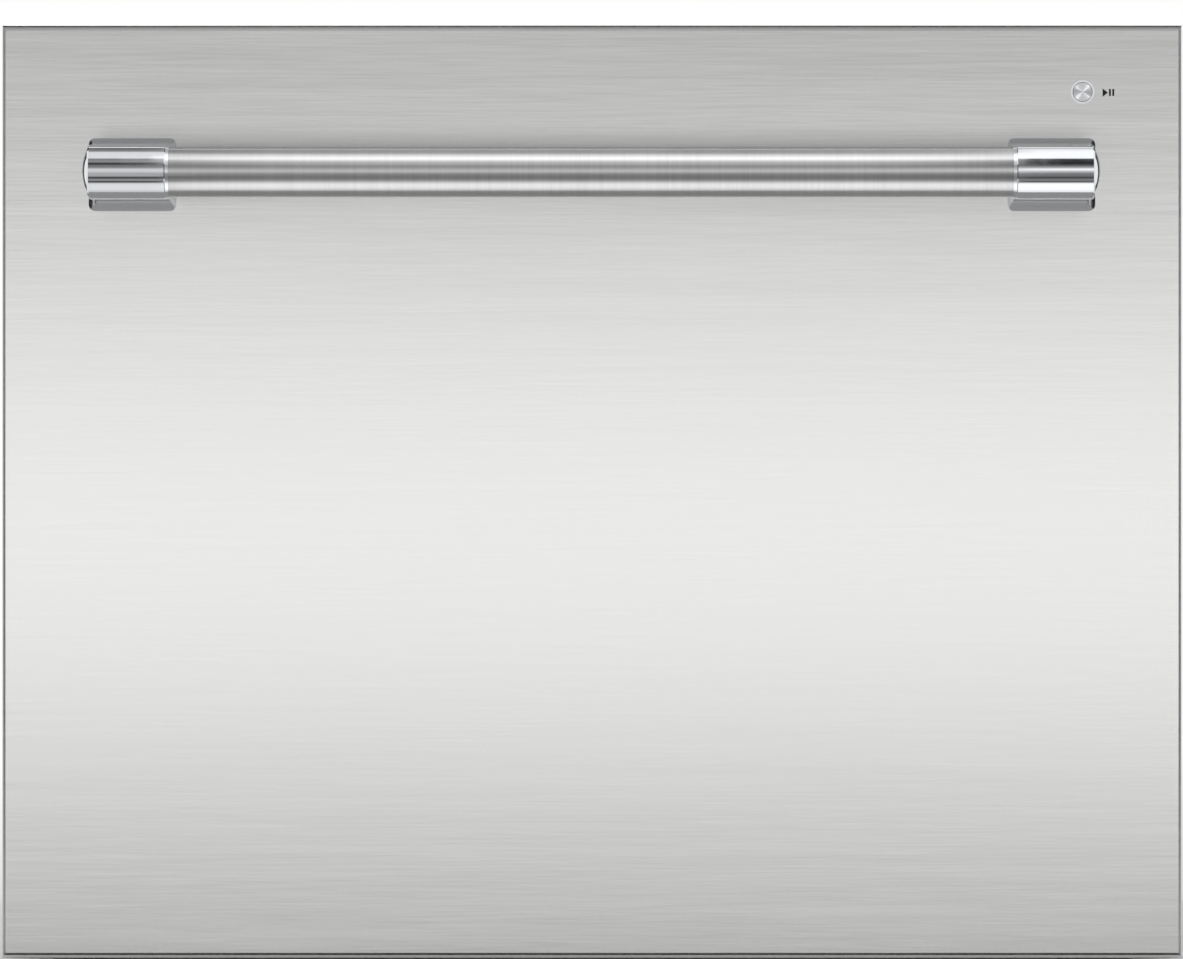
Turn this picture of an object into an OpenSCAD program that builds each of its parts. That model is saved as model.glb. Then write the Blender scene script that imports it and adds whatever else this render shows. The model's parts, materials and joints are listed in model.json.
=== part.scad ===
// Built-in dishwasher drawer: one wash tub on telescopic runners inside a sheet-steel chassis,
// with a brushed steel front panel, a bar handle and a start button.
// X is the width, Y the depth and Z the height. The front faces -Y, and Z = 0 is the floor.

/* [Front panel] */
// Width of the front panel
panel_w = 599; // [595:1:603]
// Height of the front panel
panel_h = 474; // [468:1:480]
// Depth of the folded pan behind the front face
panel_depth = 18; // [16:0.5:20]
// Thickness of the front panel's sheet
panel_sheet = 1; // [0.8:0.1:1.2]
// Bend radius along the top and bottom edges
panel_edge_r = 3; // [2:0.5:3.5]
// Bend radius along the two sides
panel_side_r = 2; // [1.5:0.5:3]
// Gap between the panel's lower edge and the floor
panel_floor_gap = 5; // [4:0.5:7]

/* [Handle] */
// Diameter of the handle bar
bar_d = 25.4; // [22:0.2:26]
// Wall of the handle bar
bar_wall = 1.6; // [1:0.1:2.5]
// Diameter of the rounded nose of each handle post
post_d = 27.4; // [27:0.2:30]
// Length of each handle post's nose along the bar
post_w = 42.7; // [38:0.1:46]
// Width of each handle post's foot on the panel
post_foot_w = 44.5; // [40:0.5:48]
// Height of each handle post where it meets the panel
post_base_h = 37; // [34:1:42]
// Distance from the panel's side edge to the middle of each post
post_inset = 65.3; // [60:0.1:80]
// Distance from the panel's face to the bar's axis
bar_standoff = 44; // [40:1:50]
// Distance from the panel's top edge down to the bar's axis
bar_drop = 76; // [72:0.5:80]
// Depth of the bar's seat in each post
bar_seat = 16; // [12:1:18]
// Vertical distance between the two screws of a post
post_screw_pitch = 20; // [18:0.5:20]

/* [Start button] */
// Diameter of the button's cap
button_d = 9.5; // [8.5:0.1:10]
// Diameter of the bezel's rim
bezel_d = 12; // [11.6:0.1:14]
// Distance from the panel's side edge to the button
button_inset = 50.5; // [48:0.5:53]
// Distance from the panel's top edge down to the button
button_drop = 34; // [32:1:36]
// How far the button travels when it is pressed
button_travel = 1.2; // [0.8:0.1:1.5]

/* [Chassis] */
// How far each chassis side stands in from the panel's side edge
chassis_inset = 1.5; // [1:0.1:2.5]
// Height of the chassis, from the base tray to the top cover
chassis_h = 460; // [456:1:462]
// Depth of the chassis
chassis_d = 526; // [522:1:532]
// Thickness of the chassis sheets
steel = 1; // [0.8:0.1:1.2]
// Height of the levelling feet under the chassis
foot_h = 15; // [14:0.5:18]
// Diameter of a foot's pad
foot_pad_d = 40; // [34:1:44]
// Diameter of a foot's threaded stem
foot_stem_d = 10; // [8:1:12]
// How far a foot can be wound out
foot_travel = 15; // [10:1:18]
// Height of the base tray's lip
tray_lip_h = 20; // [16:1:24]

/* [Runners] */
// Length of each rail
rail_l = 490; // [480:1:496]
// Height of the outer rail
rail_h = 46; // [44:0.5:50]
// Thickness of the rails' steel
rail_t = 1.5; // [1.2:0.1:1.8]
// Height of the rails' axis above the floor
rail_z = 215; // [200:1:230]
// Diameter of the runner balls
ball_d = 3.4; // [3:0.1:3.6]
// How far the drawer opens
drawer_travel = 460; // [400:5:465]

/* [Tub] */
// Space beside the tub for the runners, on each side
runner_space = 36; // [35:0.5:40]
// Space behind the tub for the hoses and connectors
tub_rear_space = 42; // [40:1:52]
// Space above the tub's rim for the lid and its drive
lid_space = 54; // [51:0.5:60]
// Height of the tub's underside above the floor
tub_z = 85; // [84:1:90]
// Thickness of the tub's walls
tub_wall = 3; // [2.5:0.1:4]
// Radius of the tub's upright corners
tub_corner_r = 40; // [30:1:50]
// Width of the rim that turns outwards
rim_w = 8; // [6:0.5:10]
// Distance from the panel's face to the tub's front wall
tub_setback = 50; // [49:0.5:52]

/* [Lid] */
// Thickness of the lid's plate
lid_t = 8; // [7:0.5:9]
// Thickness of the lid's seal
seal_t = 5; // [4:0.5:6]
// How far the lid drops to close the tub
lid_travel = 8; // [6:0.5:8]
// Diameter of the lid's guide pins
guide_pin_d = 8; // [7:0.5:9]

/* [Wash system] */
// Length of the spray arm from tip to tip
spray_arm_l = 420; // [380:2:430]
// Inner radius of the sump well
sump_r = 72; // [68:1:76]
// Depth of the sump well below the tub's floor
sump_depth = 15; // [14:0.5:17]
// Radius of the filter plate
filter_plate_r = 140; // [130:1:150]
// Radius of the filter cup
filter_cup_r = 22; // [18:1:26]
// Radius of the wash motor's housing
motor_r = 58; // [52:1:62]

/* [Rack] */
// Diameter of the rack's coated wires
wire_d = 4; // [3.4:0.1:4.4]
// Gap between the rack and the tub's wall, on each side
rack_side_gap = 27; // [24:1:34]
// Gap between the rack and the tub's wall, at the front and at the back
rack_end_gap = 35; // [34:1:40]
// Height of the rack's walls above its floor
rack_h = 160; // [150:2:168]
// Number of wires that run from side to side
rack_cross_wires = 9; // [7:1:11]
// Number of wires that run from front to back
rack_long_wires = 9; // [7:2:11]
// Height of the tines above the rack's floor
tine_h = 85; // [70:1:90]
// Distance between neighbouring tines
tine_pitch = 30; // [26:1:34]
// How far the cup racks reach in from the rack's sides
cup_rack_w = 78; // [70:1:84]
// Length of each cup rack
cup_rack_l = 260; // [230:2:270]
// Width of the cutlery basket
basket_w = 130; // [120:1:136]
// Depth of the cutlery basket
basket_d = 66; // [60:1:70]
// Height of the cutlery basket
basket_h = 112; // [100:1:118]

/* [Services] */
// Radius of the inlet valve's thread, for a 3/4 inch hose nut
inlet_thread_r = 13.2; // [12.8:0.1:13.6]
// Radius of the drain outlet's hose spigot
drain_spigot_r = 9.5; // [9:0.5:11]
// Radius of the hole through the cable gland
gland_bore_r = 4; // [3.5:0.1:4.5]
// Length that the connectors stand out of the rear panel
connector_l = 21; // [18:1:24]
// Radius of the cabinet screw holes
cabinet_hole_r = 2.5; // [2:0.1:3]
// Height between the two cabinet screws of a side
cabinet_hole_pitch = 280; // [260:5:300]
// Distance from the chassis side to the bench screw in the top cover
bench_hole_inset = 28; // [23:1:38]

/* [Hidden] */
$fn = 64;
WIRE_FN = 8;
run_gap = 0.3;      // clearance between pieces that slide past each other
fit_gap = 0.05;     // radial clearance of a shaft or pin in its hole
eps = 0.5;          // how far a cut runs past the face that it opens

STAINLESS = [0.76, 0.76, 0.75];
CHROME = [0.88, 0.89, 0.90];
ZINC = [0.66, 0.68, 0.70];
TUB_GREY = [0.78, 0.79, 0.80];
TRIM_GREY = [0.55, 0.57, 0.59];
DARK = [0.13, 0.13, 0.14];
WIRE_GREY = [0.72, 0.74, 0.76];

// Depths. face_y is the front panel's face. The model is centred over its whole depth in Y.
liner_t = 6;
door_gap = 2;       // between the liner and the front edges of the chassis
handle_reach = bar_standoff + post_d / 2;
chassis_f = panel_depth + liner_t + door_gap;
body_d = chassis_f + chassis_d + connector_l;
face_y = handle_reach - (handle_reach + body_d) / 2;
function back(f) = face_y + f;      // the Y of a point that lies f behind the panel's face
chassis_y0 = back(chassis_f);
chassis_y1 = chassis_y0 + chassis_d;

// Widths and depths that follow the panel and the chassis
chassis_w = panel_w - 2 * chassis_inset;
post_spacing = panel_w - 2 * post_inset;
button_x = panel_w / 2 - button_inset;
bench_hole_pitch = chassis_w - 2 * bench_hole_inset;
tub_w = chassis_w - 2 * runner_space;
tub_d = chassis_f + chassis_d - tub_setback - tub_rear_space;
rack_w = tub_w - 2 * rack_side_gap;
rack_d = tub_d - 2 * rack_end_gap;

// Heights
panel_z0 = panel_floor_gap;
panel_z1 = panel_floor_gap + panel_h;
bar_z = panel_z1 - bar_drop;
button_z = panel_z1 - button_drop;
chassis_z0 = foot_h;
chassis_z1 = foot_h + chassis_h;
top_inner_z = chassis_z1 - steel;
side_inner_x = chassis_w / 2 - steel;
rim_z = top_inner_z - lid_space;
tub_h = rim_z - tub_z;
tub_y0 = back(tub_setback);
tub_yc = tub_y0 + tub_d / 2;
tub_floor_z = tub_z + tub_wall;
seal_z = rim_z + lid_travel + run_gap;
lid_z = seal_z + seal_t;
lid_top_z = lid_z + lid_t;

// Rounded rectangle, centred, from exact squares and circles
module rounded(w, d, r) {
    square([w - 2 * r, d], center = true);
    square([w, d - 2 * r], center = true);
    for (sx = [-1, 1], sy = [-1, 1])
        translate([sx * (w / 2 - r), sy * (d / 2 - r)]) circle(r = r);
}

module box_from(low, high) {
    translate(low) cube([high.x - low.x, high.y - low.y, high.z - low.z]);
}

module rod_y(x, y, z, r, l, fn = $fn) {
    translate([x, y, z]) rotate([-90, 0, 0]) cylinder(r = r, h = l, $fn = fn);
}

module rod_x(x, y, z, r, l, fn = $fn) {
    translate([x, y, z]) rotate([0, 90, 0]) cylinder(r = r, h = l, $fn = fn);
}

// Everything that is the same on both sides: side is -1 for the left and 1 for the right
module on_side(side) {
    if (side < 0) mirror([1, 0, 0]) children();
    else children();
}

// ---- Front panel, handle and start button ----

// Side view of a folded pan whose front corners are bent to radius r; its front is at 0
module pan_side(d, h, r) {
    translate([r, 0]) square([d - r, h]);
    translate([0, r]) square([d, h - 2 * r]);
    for (z = [r, h - r]) translate([r, z]) circle(r = r);
}

// Plan view of the same pan
module pan_plan(w, d, r) {
    translate([-w / 2, r]) square([w, d - r]);
    translate([-w / 2 + r, 0]) square([w - 2 * r, d]);
    for (x = [-w / 2 + r, w / 2 - r]) translate([x, r]) circle(r = r);
}

// A solid pan: both views together give the mitred corners of bent sheet
module pan(w, h, d, edge_r, side_r) {
    intersection() {
        translate([-w / 2, 0, 0]) rotate([90, 0, 90]) linear_extrude(w) pan_side(d, h, edge_r);
        linear_extrude(h) pan_plan(w, d, side_r);
    }
}

bezel_sleeve_r = button_d / 2 + 0.85;
bezel_bore_r = button_d / 2 + 0.25;
screw_head_r = 4.5;
screw_head_t = 3.4;
screw_shank_r = 2.5;
module each_handle_screw() {
    for (side = [-1, 1], dz = [-1, 1])
        translate([side * post_spacing / 2, face_y, bar_z + dz * post_screw_pitch / 2]) children();
}

module front_panel() {
    color(STAINLESS) difference() {
        translate([0, face_y, panel_z0])
            pan(panel_w, panel_h, panel_depth, panel_edge_r, panel_side_r);
        translate([0, face_y + panel_sheet, panel_z0 + panel_sheet])
            pan(panel_w - 2 * panel_sheet, panel_h - 2 * panel_sheet, panel_depth,
                panel_edge_r - panel_sheet, panel_side_r - panel_sheet / 2);
        rod_y(button_x, face_y - eps, button_z, bezel_sleeve_r + fit_gap, panel_sheet + 2 * eps);
        each_handle_screw() rod_y(0, -eps, 0, screw_shank_r + run_gap, panel_sheet + 2 * eps);
    }
}

neck_step = 0.4;    // the neck is this much slimmer than the nose
base_r = 3.5;
flare_l = 15;
post_inner_x = post_spacing / 2 - post_w / 2;

// One side of a post's neck: straight, then a hollow flare out to the panel at 0
module neck_edge(half, out) {
    flare_r = (flare_l * flare_l + out * out) / (2 * out);
    translate([-bar_standoff, 0]) square([bar_standoff, half]);
    difference() {
        translate([-flare_l, 0]) square([flare_l, half + out]);
        translate([-flare_l, half + flare_r]) circle(r = flare_r);
    }
}

// Half outline of the nose, turned about the bar's axis: a shoulder with a small bevel and a domed end
module nose_outline(l) {
    r = post_d / 2;
    bevel = 0.8;
    dome_r = r - bevel - 0.3;
    dome_l = 3.2;
    ball_r = (dome_r * dome_r + dome_l * dome_l) / (2 * dome_l);
    polygon([[0, 0], [r - bevel, 0], [r, bevel], [r, l - dome_l - bevel],
             [r - bevel, l - dome_l], [0, l - dome_l]]);
    intersection() {
        translate([0, l - ball_r]) circle(r = ball_r);
        square([dome_r, l]);
    }
}

// The neck with its foot: side view, plan view and front view together. The foot also reaches inwards.
foot_lead = 1.9;
module post_neck() {
    half = post_d / 2 - neck_step;
    mid = post_w / 2;
    outer = post_w - 5.5 - mid;
    inner = mid - neck_step;
    intersection() {
        rotate([90, 0, 90]) translate([0, 0, -foot_lead]) linear_extrude(post_foot_w)
            for (s = [0, 1]) mirror([0, s]) neck_edge(half, post_base_h / 2 - half);
        translate([mid, 0, -post_base_h]) linear_extrude(2 * post_base_h) rotate(90) {
            neck_edge(inner, mid + foot_lead - inner);
            mirror([0, 1]) neck_edge(outer, post_foot_w - foot_lead - mid - outer);
        }
        rotate([90, 0, 0]) linear_extrude(bar_standoff) translate([post_foot_w / 2 - foot_lead, 0])
            rounded(post_foot_w, post_base_h, base_r);
    }
}

collar_l = 1.2;
module handle_post(side) {
    color(CHROME) on_side(side) difference() {
        union() {
            translate([post_inner_x, face_y - bar_standoff, bar_z]) rotate([0, 90, 0])
                rotate_extrude() nose_outline(post_w);
            translate([post_inner_x, face_y, bar_z]) post_neck();
            translate([post_inner_x - collar_l, face_y - bar_standoff, bar_z]) rotate([0, 90, 0])
                cylinder(r1 = bar_d / 2 + 0.5, r2 = post_d / 2 - 0.2, h = 3 * collar_l);
        }
        rod_x(post_inner_x - collar_l - eps, face_y - bar_standoff, bar_z, bar_d / 2 + fit_gap,
              collar_l + bar_seat + eps);
        for (dz = [-1, 1]) translate([post_spacing / 2, face_y, bar_z + dz * post_screw_pitch / 2])
            rod_y(0, -12, 0, screw_shank_r + fit_gap, 12 + eps);
    }
}

module handle_bar() {
    half = post_inner_x + bar_seat;
    color(STAINLESS) difference() {
        rod_x(-half, face_y - bar_standoff, bar_z, bar_d / 2, 2 * half);
        rod_x(-half - eps, face_y - bar_standoff, bar_z, bar_d / 2 - bar_wall, 2 * half + 2 * eps);
    }
}

module handle_screws() {
    color(ZINC) each_handle_screw() {
        difference() {
            rod_y(0, panel_sheet, 0, screw_head_r, screw_head_t);
            rod_y(0, panel_sheet + screw_head_t - 2, 0, 2.1, 2 + eps, fn = 6);
        }
        rod_y(0, -11, 0, screw_shank_r, 11 + panel_sheet + eps);
    }
}

bezel_rim_t = 0.8;
bezel_sleeve_l = 6;
button_proud = 1;
button_flange_t = 1.2;
switch_gap = 0.1;
button_back = bezel_sleeve_l + switch_gap + button_flange_t;
module button_bezel() {
    color(CHROME) translate([button_x, face_y, button_z]) difference() {
        union() {
            rod_y(0, -bezel_rim_t, 0, bezel_d / 2, bezel_rim_t);
            rod_y(0, 0, 0, bezel_sleeve_r, bezel_sleeve_l);
        }
        rod_y(0, -bezel_rim_t - eps, 0, bezel_bore_r, bezel_sleeve_l + bezel_rim_t + 2 * eps);
    }
}

module start_button() {
    color(CHROME) translate([button_x, face_y, button_z]) {
        rod_y(0, -button_proud, 0, button_d / 2, button_proud + button_back);
        rod_y(0, button_back - button_flange_t, 0, bezel_sleeve_r - 0.1, button_flange_t);
    }
}

switch_box = 24;
pcb_t = 1.6;
module button_switch() {
    tact_y = button_back + button_travel + switch_gap;
    pcb_y = tact_y + 2.6;
    translate([button_x, face_y, button_z]) {
        color(DARK) difference() {
            translate([-switch_box / 2, panel_sheet, -switch_box / 2])
                cube([switch_box, pcb_y + pcb_t - panel_sheet, switch_box]);
            translate([-switch_box / 2 + 2, panel_sheet - eps, -switch_box / 2 + 2])
                cube([switch_box - 4, pcb_y - panel_sheet + eps, switch_box - 4]);
            translate([-switch_box / 2 + 1, pcb_y, -switch_box / 2 + 1])
                cube([switch_box - 2, pcb_t + eps, switch_box - 2]);
        }
        color("darkgreen") translate([-switch_box / 2 + 1, pcb_y, -switch_box / 2 + 1])
            cube([switch_box - 2, pcb_t, switch_box - 2]);
        color(ZINC) {
            translate([-3, tact_y + 0.6, -3]) cube([6, 2, 6]);
            rod_y(0, tact_y, 0, 1.7, 0.7);
        }
    }
}

// ---- Door behind the front panel ----

module door_insulation() {
    margin = panel_sheet + 2;
    color("ivory") difference() {
        box_from([-panel_w / 2 + margin, face_y + panel_sheet, panel_z0 + margin],
                 [panel_w / 2 - margin, face_y + panel_depth - 1, panel_z1 - margin]);
        each_handle_screw() rod_y(0, 0, 0, screw_head_r + 1, panel_depth);
        translate([button_x - switch_box / 2 - 1, face_y, button_z - switch_box / 2 - 1])
            cube([switch_box + 2, panel_depth, switch_box + 2]);
    }
}

liner_gap = 1.5;
block_half_w = 250;
block_wall = 4;
block_z0 = tub_z + 10;
block_z1 = rim_z - 6;
strip_z0 = rim_z + 8;
strip_z1 = top_inner_z - 4;
strip_half_w = 240;
strip_f1 = tub_setback - 5.5;
module door_liner() {
    y0 = face_y + panel_depth;
    color(TRIM_GREY) {
        difference() {
            union() {
                box_from([-panel_w / 2 + liner_gap, y0, panel_z0 + liner_gap],
                         [panel_w / 2 - liner_gap, y0 + liner_t, panel_z1 - liner_gap]);
                box_from([-block_half_w, y0 + liner_t - eps, block_z0],
                         [block_half_w, tub_y0, block_z1]);
            }
            box_from([-block_half_w + block_wall, y0 + liner_t, block_z0 + block_wall],
                     [block_half_w - block_wall, tub_y0 + eps, block_z1 - block_wall]);
        }
        // edge rib that sits inside the pan
        difference() {
            box_from([-panel_w / 2 + panel_sheet + run_gap, y0 - 1, panel_z0 + panel_sheet + run_gap],
                     [panel_w / 2 - panel_sheet - run_gap, y0, panel_z1 - panel_sheet - run_gap]);
            box_from([-panel_w / 2 + 8, y0 - 1 - eps, panel_z0 + 8],
                     [panel_w / 2 - 8, y0 + eps, panel_z1 - 8]);
        }
    }
}

// Touch strip along the top of the door, seen when the drawer is open
module control_strip() {
    y0 = face_y + panel_depth + liner_t;
    color(DARK) difference() {
        box_from([-strip_half_w, y0, strip_z0], [strip_half_w, back(strip_f1), strip_z1]);
        box_from([-strip_half_w + 3, y0 + 3, strip_z0 - eps],
                 [strip_half_w - 3, back(strip_f1) - 3, strip_z1 - 3]);
    }
}

board_x0 = 30;
board_w = 170;
board_z0 = 290;
board_h = 100;
module control_board() {
    y0 = face_y + panel_depth + liner_t;
    color(DARK) difference() {
        translate([board_x0, y0, board_z0]) cube([board_w, 20, board_h]);
        translate([board_x0 + 2, y0 + 2, board_z0 + 2]) cube([board_w - 4, 18 + eps, board_h - 4]);
    }
    color("darkgreen") translate([board_x0 + 2, y0 + 6, board_z0 + 2])
        cube([board_w - 4, pcb_t, board_h - 4]);
}

fan_x = -165;
fan_z = 345;
fan_r = 28;
fan_box = 66;
fan_box_d = 22;
fan_pin_r = 2;
module fan_housing() {
    translate([fan_x, face_y + panel_depth + liner_t, fan_z]) color(DARK) {
        difference() {
            translate([-fan_box / 2, 0, -fan_box / 2]) cube([fan_box, fan_box_d, fan_box]);
            rod_y(0, 3, 0, fan_r + 1.5, fan_box_d);
        }
        rod_y(0, 2, 0, fan_pin_r, fan_box_d - 6);
    }
}

module fan_rotor() {
    blades = 7;
    translate([fan_x, face_y + panel_depth + liner_t + 4, fan_z]) color(TRIM_GREY) difference() {
        union() {
            rod_y(0, 0, 0, 9, 13);
            rod_y(0, 0, 0, fan_r, 1.5);
            for (i = [0 : blades - 1]) rotate([0, i * 360 / blades, 0])
                translate([6, 0, -0.8]) cube([fan_r - 7, 12, 1.6]);
        }
        rod_y(0, -eps, 0, fan_pin_r + fit_gap, 14 + eps);
    }
}

// ---- Chassis ----

bracket_z = [chassis_z0 + 85, chassis_z0 + 85 + cabinet_hole_pitch];
bracket_f = chassis_f + 22;
side_flange = 12;
rib_t = 1;
module side_sheet(side) {
    color(ZINC) on_side(side) difference() {
        union() {
            box_from([side_inner_x, chassis_y0, chassis_z0], [chassis_w / 2, chassis_y1, chassis_z1]);
            // returns along the front edge and under the top cover
            box_from([side_inner_x - side_flange, chassis_y0, chassis_z0 + tray_lip_h + 10],
                     [side_inner_x + eps, chassis_y0 + steel, top_inner_z - side_flange]);
            box_from([side_inner_x - side_flange, chassis_y0 + 30, top_inner_z - steel],
                     [side_inner_x + eps, chassis_y1 - 30, top_inner_z]);
            // two pressed stiffening ribs
            for (z = [chassis_z0 + 60, chassis_z1 - 60])
                box_from([chassis_w / 2 - steel / 2, chassis_y0 + 60, z - 9],
                         [chassis_w / 2 + rib_t, chassis_y1 - 60, z + 9]);
        }
        for (z = bracket_z)
            rod_x(side_inner_x - eps, back(bracket_f), z, cabinet_hole_r, steel + 2 * eps);
        // the front return stops above and below the moving rails
        box_from([side_inner_x - side_flange - eps, chassis_y0 - eps, rail_z - rail_h / 2 - 4],
                 [side_inner_x, chassis_y0 + steel + eps, rail_z + rail_h / 2 + 4]);
    }
}

bench_hole_f = chassis_f + 30;
vent_count = 9;
vent_w = 4;
vent_pitch = 10;
vent_x = 150;
vent_l = 40;
module top_cover() {
    color(ZINC) difference() {
        box_from([-side_inner_x, chassis_y0, top_inner_z], [side_inner_x, chassis_y1, chassis_z1]);
        for (side = [-1, 1]) translate([side * bench_hole_pitch / 2, back(bench_hole_f), 0])
            cylinder(r = cabinet_hole_r, h = 2 * chassis_z1);
        for (side = [-1, 1], i = [0 : vent_count - 1])
            translate([side * vent_x + (i - (vent_count - 1) / 2) * vent_pitch, chassis_y1 - 70, 0])
                translate([0, 0, top_inner_z - eps]) linear_extrude(steel + 2 * eps) {
                    square([vent_w, vent_l - vent_w], center = true);
                    for (s = [-1, 1]) translate([0, s * (vent_l - vent_w) / 2]) circle(d = vent_w);
                }
    }
}

inlet_x = -190;
inlet_z = 72;
drain_x = 190;
drain_z = 72;
gland_x = 60;
gland_z = 72;
gland_r = 8;
rear_inner_y = chassis_y1 - steel;
rear_rib_half = 0.74 * side_inner_x;
rear_rib_h = 24;
module rear_panel() {
    color(ZINC) difference() {
        union() {
            box_from([-side_inner_x, rear_inner_y, chassis_z0 + steel],
                     [side_inner_x, chassis_y1, top_inner_z]);
            for (i = [-1 : 1]) translate([0, 0, chassis_z0 + 0.53 * chassis_h + i * chassis_h / 5])
                box_from([-rear_rib_half, chassis_y1 - steel / 2, -rear_rib_h / 2],
                         [rear_rib_half, chassis_y1 + rib_t, rear_rib_h / 2]);
        }
        rod_y(inlet_x, rear_inner_y - eps, inlet_z, inlet_thread_r + run_gap, steel + 2 * eps);
        rod_y(drain_x, rear_inner_y - eps, drain_z, drain_spigot_r + run_gap, steel + 2 * eps);
        rod_y(gland_x, rear_inner_y - eps, gland_z, gland_r + run_gap, steel + 2 * eps);
    }
}

foot_x = side_inner_x - 38;
foot_f = [chassis_f + 45, chassis_f + chassis_d - 60];
boss_r = 14;
boss_h = 18;
module base_tray() {
    color(ZINC) difference() {
        union() {
            difference() {
                box_from([-side_inner_x, chassis_y0 + 4, chassis_z0],
                         [side_inner_x, rear_inner_y, chassis_z0 + tray_lip_h]);
                box_from([-side_inner_x + steel, chassis_y0 + 4 + steel, chassis_z0 + steel],
                         [side_inner_x - steel, rear_inner_y - steel, chassis_z0 + tray_lip_h + eps]);
            }
            for (side = [-1, 1], f = foot_f) translate([side * foot_x, back(f), chassis_z0])
                cylinder(r = boss_r, h = boss_h);
        }
        for (side = [-1, 1], f = foot_f) translate([side * foot_x, back(f), chassis_z0 - eps])
            cylinder(r = foot_stem_d / 2 + fit_gap, h = boss_h + 2 * eps);
    }
}

// A levelling foot: pad, hexagon for the spanner and threaded stem
module foot(side, f) {
    pad_t = 7;
    translate([side * foot_x, back(f), 0]) {
        color(DARK) difference() {
            union() {
                cylinder(r = foot_pad_d / 2, h = pad_t - 2);
                translate([0, 0, pad_t - 2]) cylinder(r1 = foot_pad_d / 2, r2 = foot_pad_d / 2 - 4, h = 2);
            }
            translate([0, 0, 3]) cylinder(r = foot_stem_d / 2, h = pad_t);
        }
        color(ZINC) {
            translate([0, 0, 3]) cylinder(r = foot_stem_d / 2, h = foot_h + boss_h + foot_travel - 6);
            translate([0, 0, pad_t]) cylinder(r = foot_stem_d, h = foot_h - pad_t - run_gap, $fn = 6);
        }
    }
}

// Raised screw heads that hold the sheets together
sheet_screw_r = 4;
sheet_screw_t = 2.2;
module chassis_screws() {
    color(ZINC) {
        for (side = [-1, 1], z = [chassis_z0 + 40, chassis_z0 + chassis_h / 2, chassis_z1 - 40])
            rod_y(side * (side_inner_x - 12), chassis_y1, z, sheet_screw_r, sheet_screw_t);
        for (x = [-180, 0, 180]) rod_y(x, chassis_y1, chassis_z1 - 12, sheet_screw_r, sheet_screw_t);
        for (side = [-1, 1], f = [chassis_f + 90, chassis_f + chassis_d / 2 + 30, chassis_f + chassis_d - 90])
            translate([side * (side_inner_x - 8), back(f), chassis_z1])
                cylinder(r = sheet_screw_r, h = sheet_screw_t);
    }
}

// Flat steel tabs inside the side sheets that the cabinet screws pass through
bracket_w = 24;
bracket_h = 36;
bracket_t = 2;
module cabinet_brackets() {
    color(ZINC) for (side = [-1, 1]) on_side(side) {
        for (z = bracket_z) difference() {
            box_from([side_inner_x - bracket_t, back(bracket_f) - bracket_w / 2, z - bracket_h / 2],
                     [side_inner_x, back(bracket_f) + bracket_w / 2, z + bracket_h / 2]);
            rod_x(side_inner_x - bracket_t - eps, back(bracket_f), z, cabinet_hole_r, bracket_t + 2 * eps);
        }
        difference() {
            translate([bench_hole_pitch / 2, back(bench_hole_f), chassis_z1])
                linear_extrude(bracket_t) rounded(bracket_h, bracket_w, 4);
            translate([bench_hole_pitch / 2, back(bench_hole_f), chassis_z1 - eps])
                cylinder(r = cabinet_hole_r, h = bracket_t + 2 * eps);
        }
    }
}

// ---- Runners: three nested rails a side, with balls between them ----

// Each rail: the distance of its web from the chassis side, its half height and its flange's reach
rail_y0 = back(chassis_f + 8);
mid_half = rail_h / 2 - rail_t - ball_d - 2 * run_gap;
inner_half = mid_half - rail_t - ball_d - 2 * run_gap;
mid_u = rail_t + 0.5;
inner_u = 11;
module rail(side, u0, u1, web_u, half) {
    color(ZINC) on_side(side) {
        box_from([side_inner_x - web_u - rail_t, rail_y0, rail_z - half],
                 [side_inner_x - web_u, rail_y0 + rail_l, rail_z + half]);
        for (s = [-1, 1]) {
            z = rail_z + s * (half - rail_t / 2);
            box_from([side_inner_x - u1, rail_y0, z - rail_t / 2],
                     [side_inner_x - u0, rail_y0 + rail_l, z + rail_t / 2]);
        }
    }
}
module rail_outer(side) rail(side, 0, 9, 0, rail_h / 2);
module rail_mid(side) rail(side, mid_u, 9.5, mid_u, mid_half);
module rail_inner(side) rail(side, mid_u + rail_t + 2, inner_u + rail_t, inner_u, inner_half);

// A strip of balls above and below, in the gap outside a rail of this half height
module ball_cage(side, u, half, l, y0) {
    balls = 7;
    z_off = half + run_gap + ball_d / 2;
    on_side(side) for (s = [-1, 1]) {
        color(TRIM_GREY) difference() {
            box_from([side_inner_x - u - 2.2, y0, rail_z + s * z_off - 0.7],
                     [side_inner_x - u + 2.2, y0 + l, rail_z + s * z_off + 0.7]);
            for (i = [0 : balls - 1])
                translate([side_inner_x - u, y0 + 10 + i * (l - 20) / (balls - 1), rail_z + s * z_off])
                    sphere(d = ball_d - 0.1);
        }
        color(CHROME) for (i = [0 : balls - 1])
            translate([side_inner_x - u, y0 + 10 + i * (l - 20) / (balls - 1), rail_z + s * z_off])
                sphere(d = ball_d - 0.1);
    }
}
// A cage moves half as far as the rail that rolls on it, and still lies between both rails when open
cage_y0 = rail_y0 + drawer_travel / 4 + 7.5;
cage_l = rail_l - drawer_travel / 2 - 35;
module outer_ball_cages() {
    for (side = [-1, 1]) ball_cage(side, 6, mid_half, cage_l, cage_y0);
}
module inner_ball_cages() {
    for (side = [-1, 1]) ball_cage(side, 7.2, inner_half, cage_l, cage_y0);
}

// ---- Lid and what moves it ----

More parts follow.
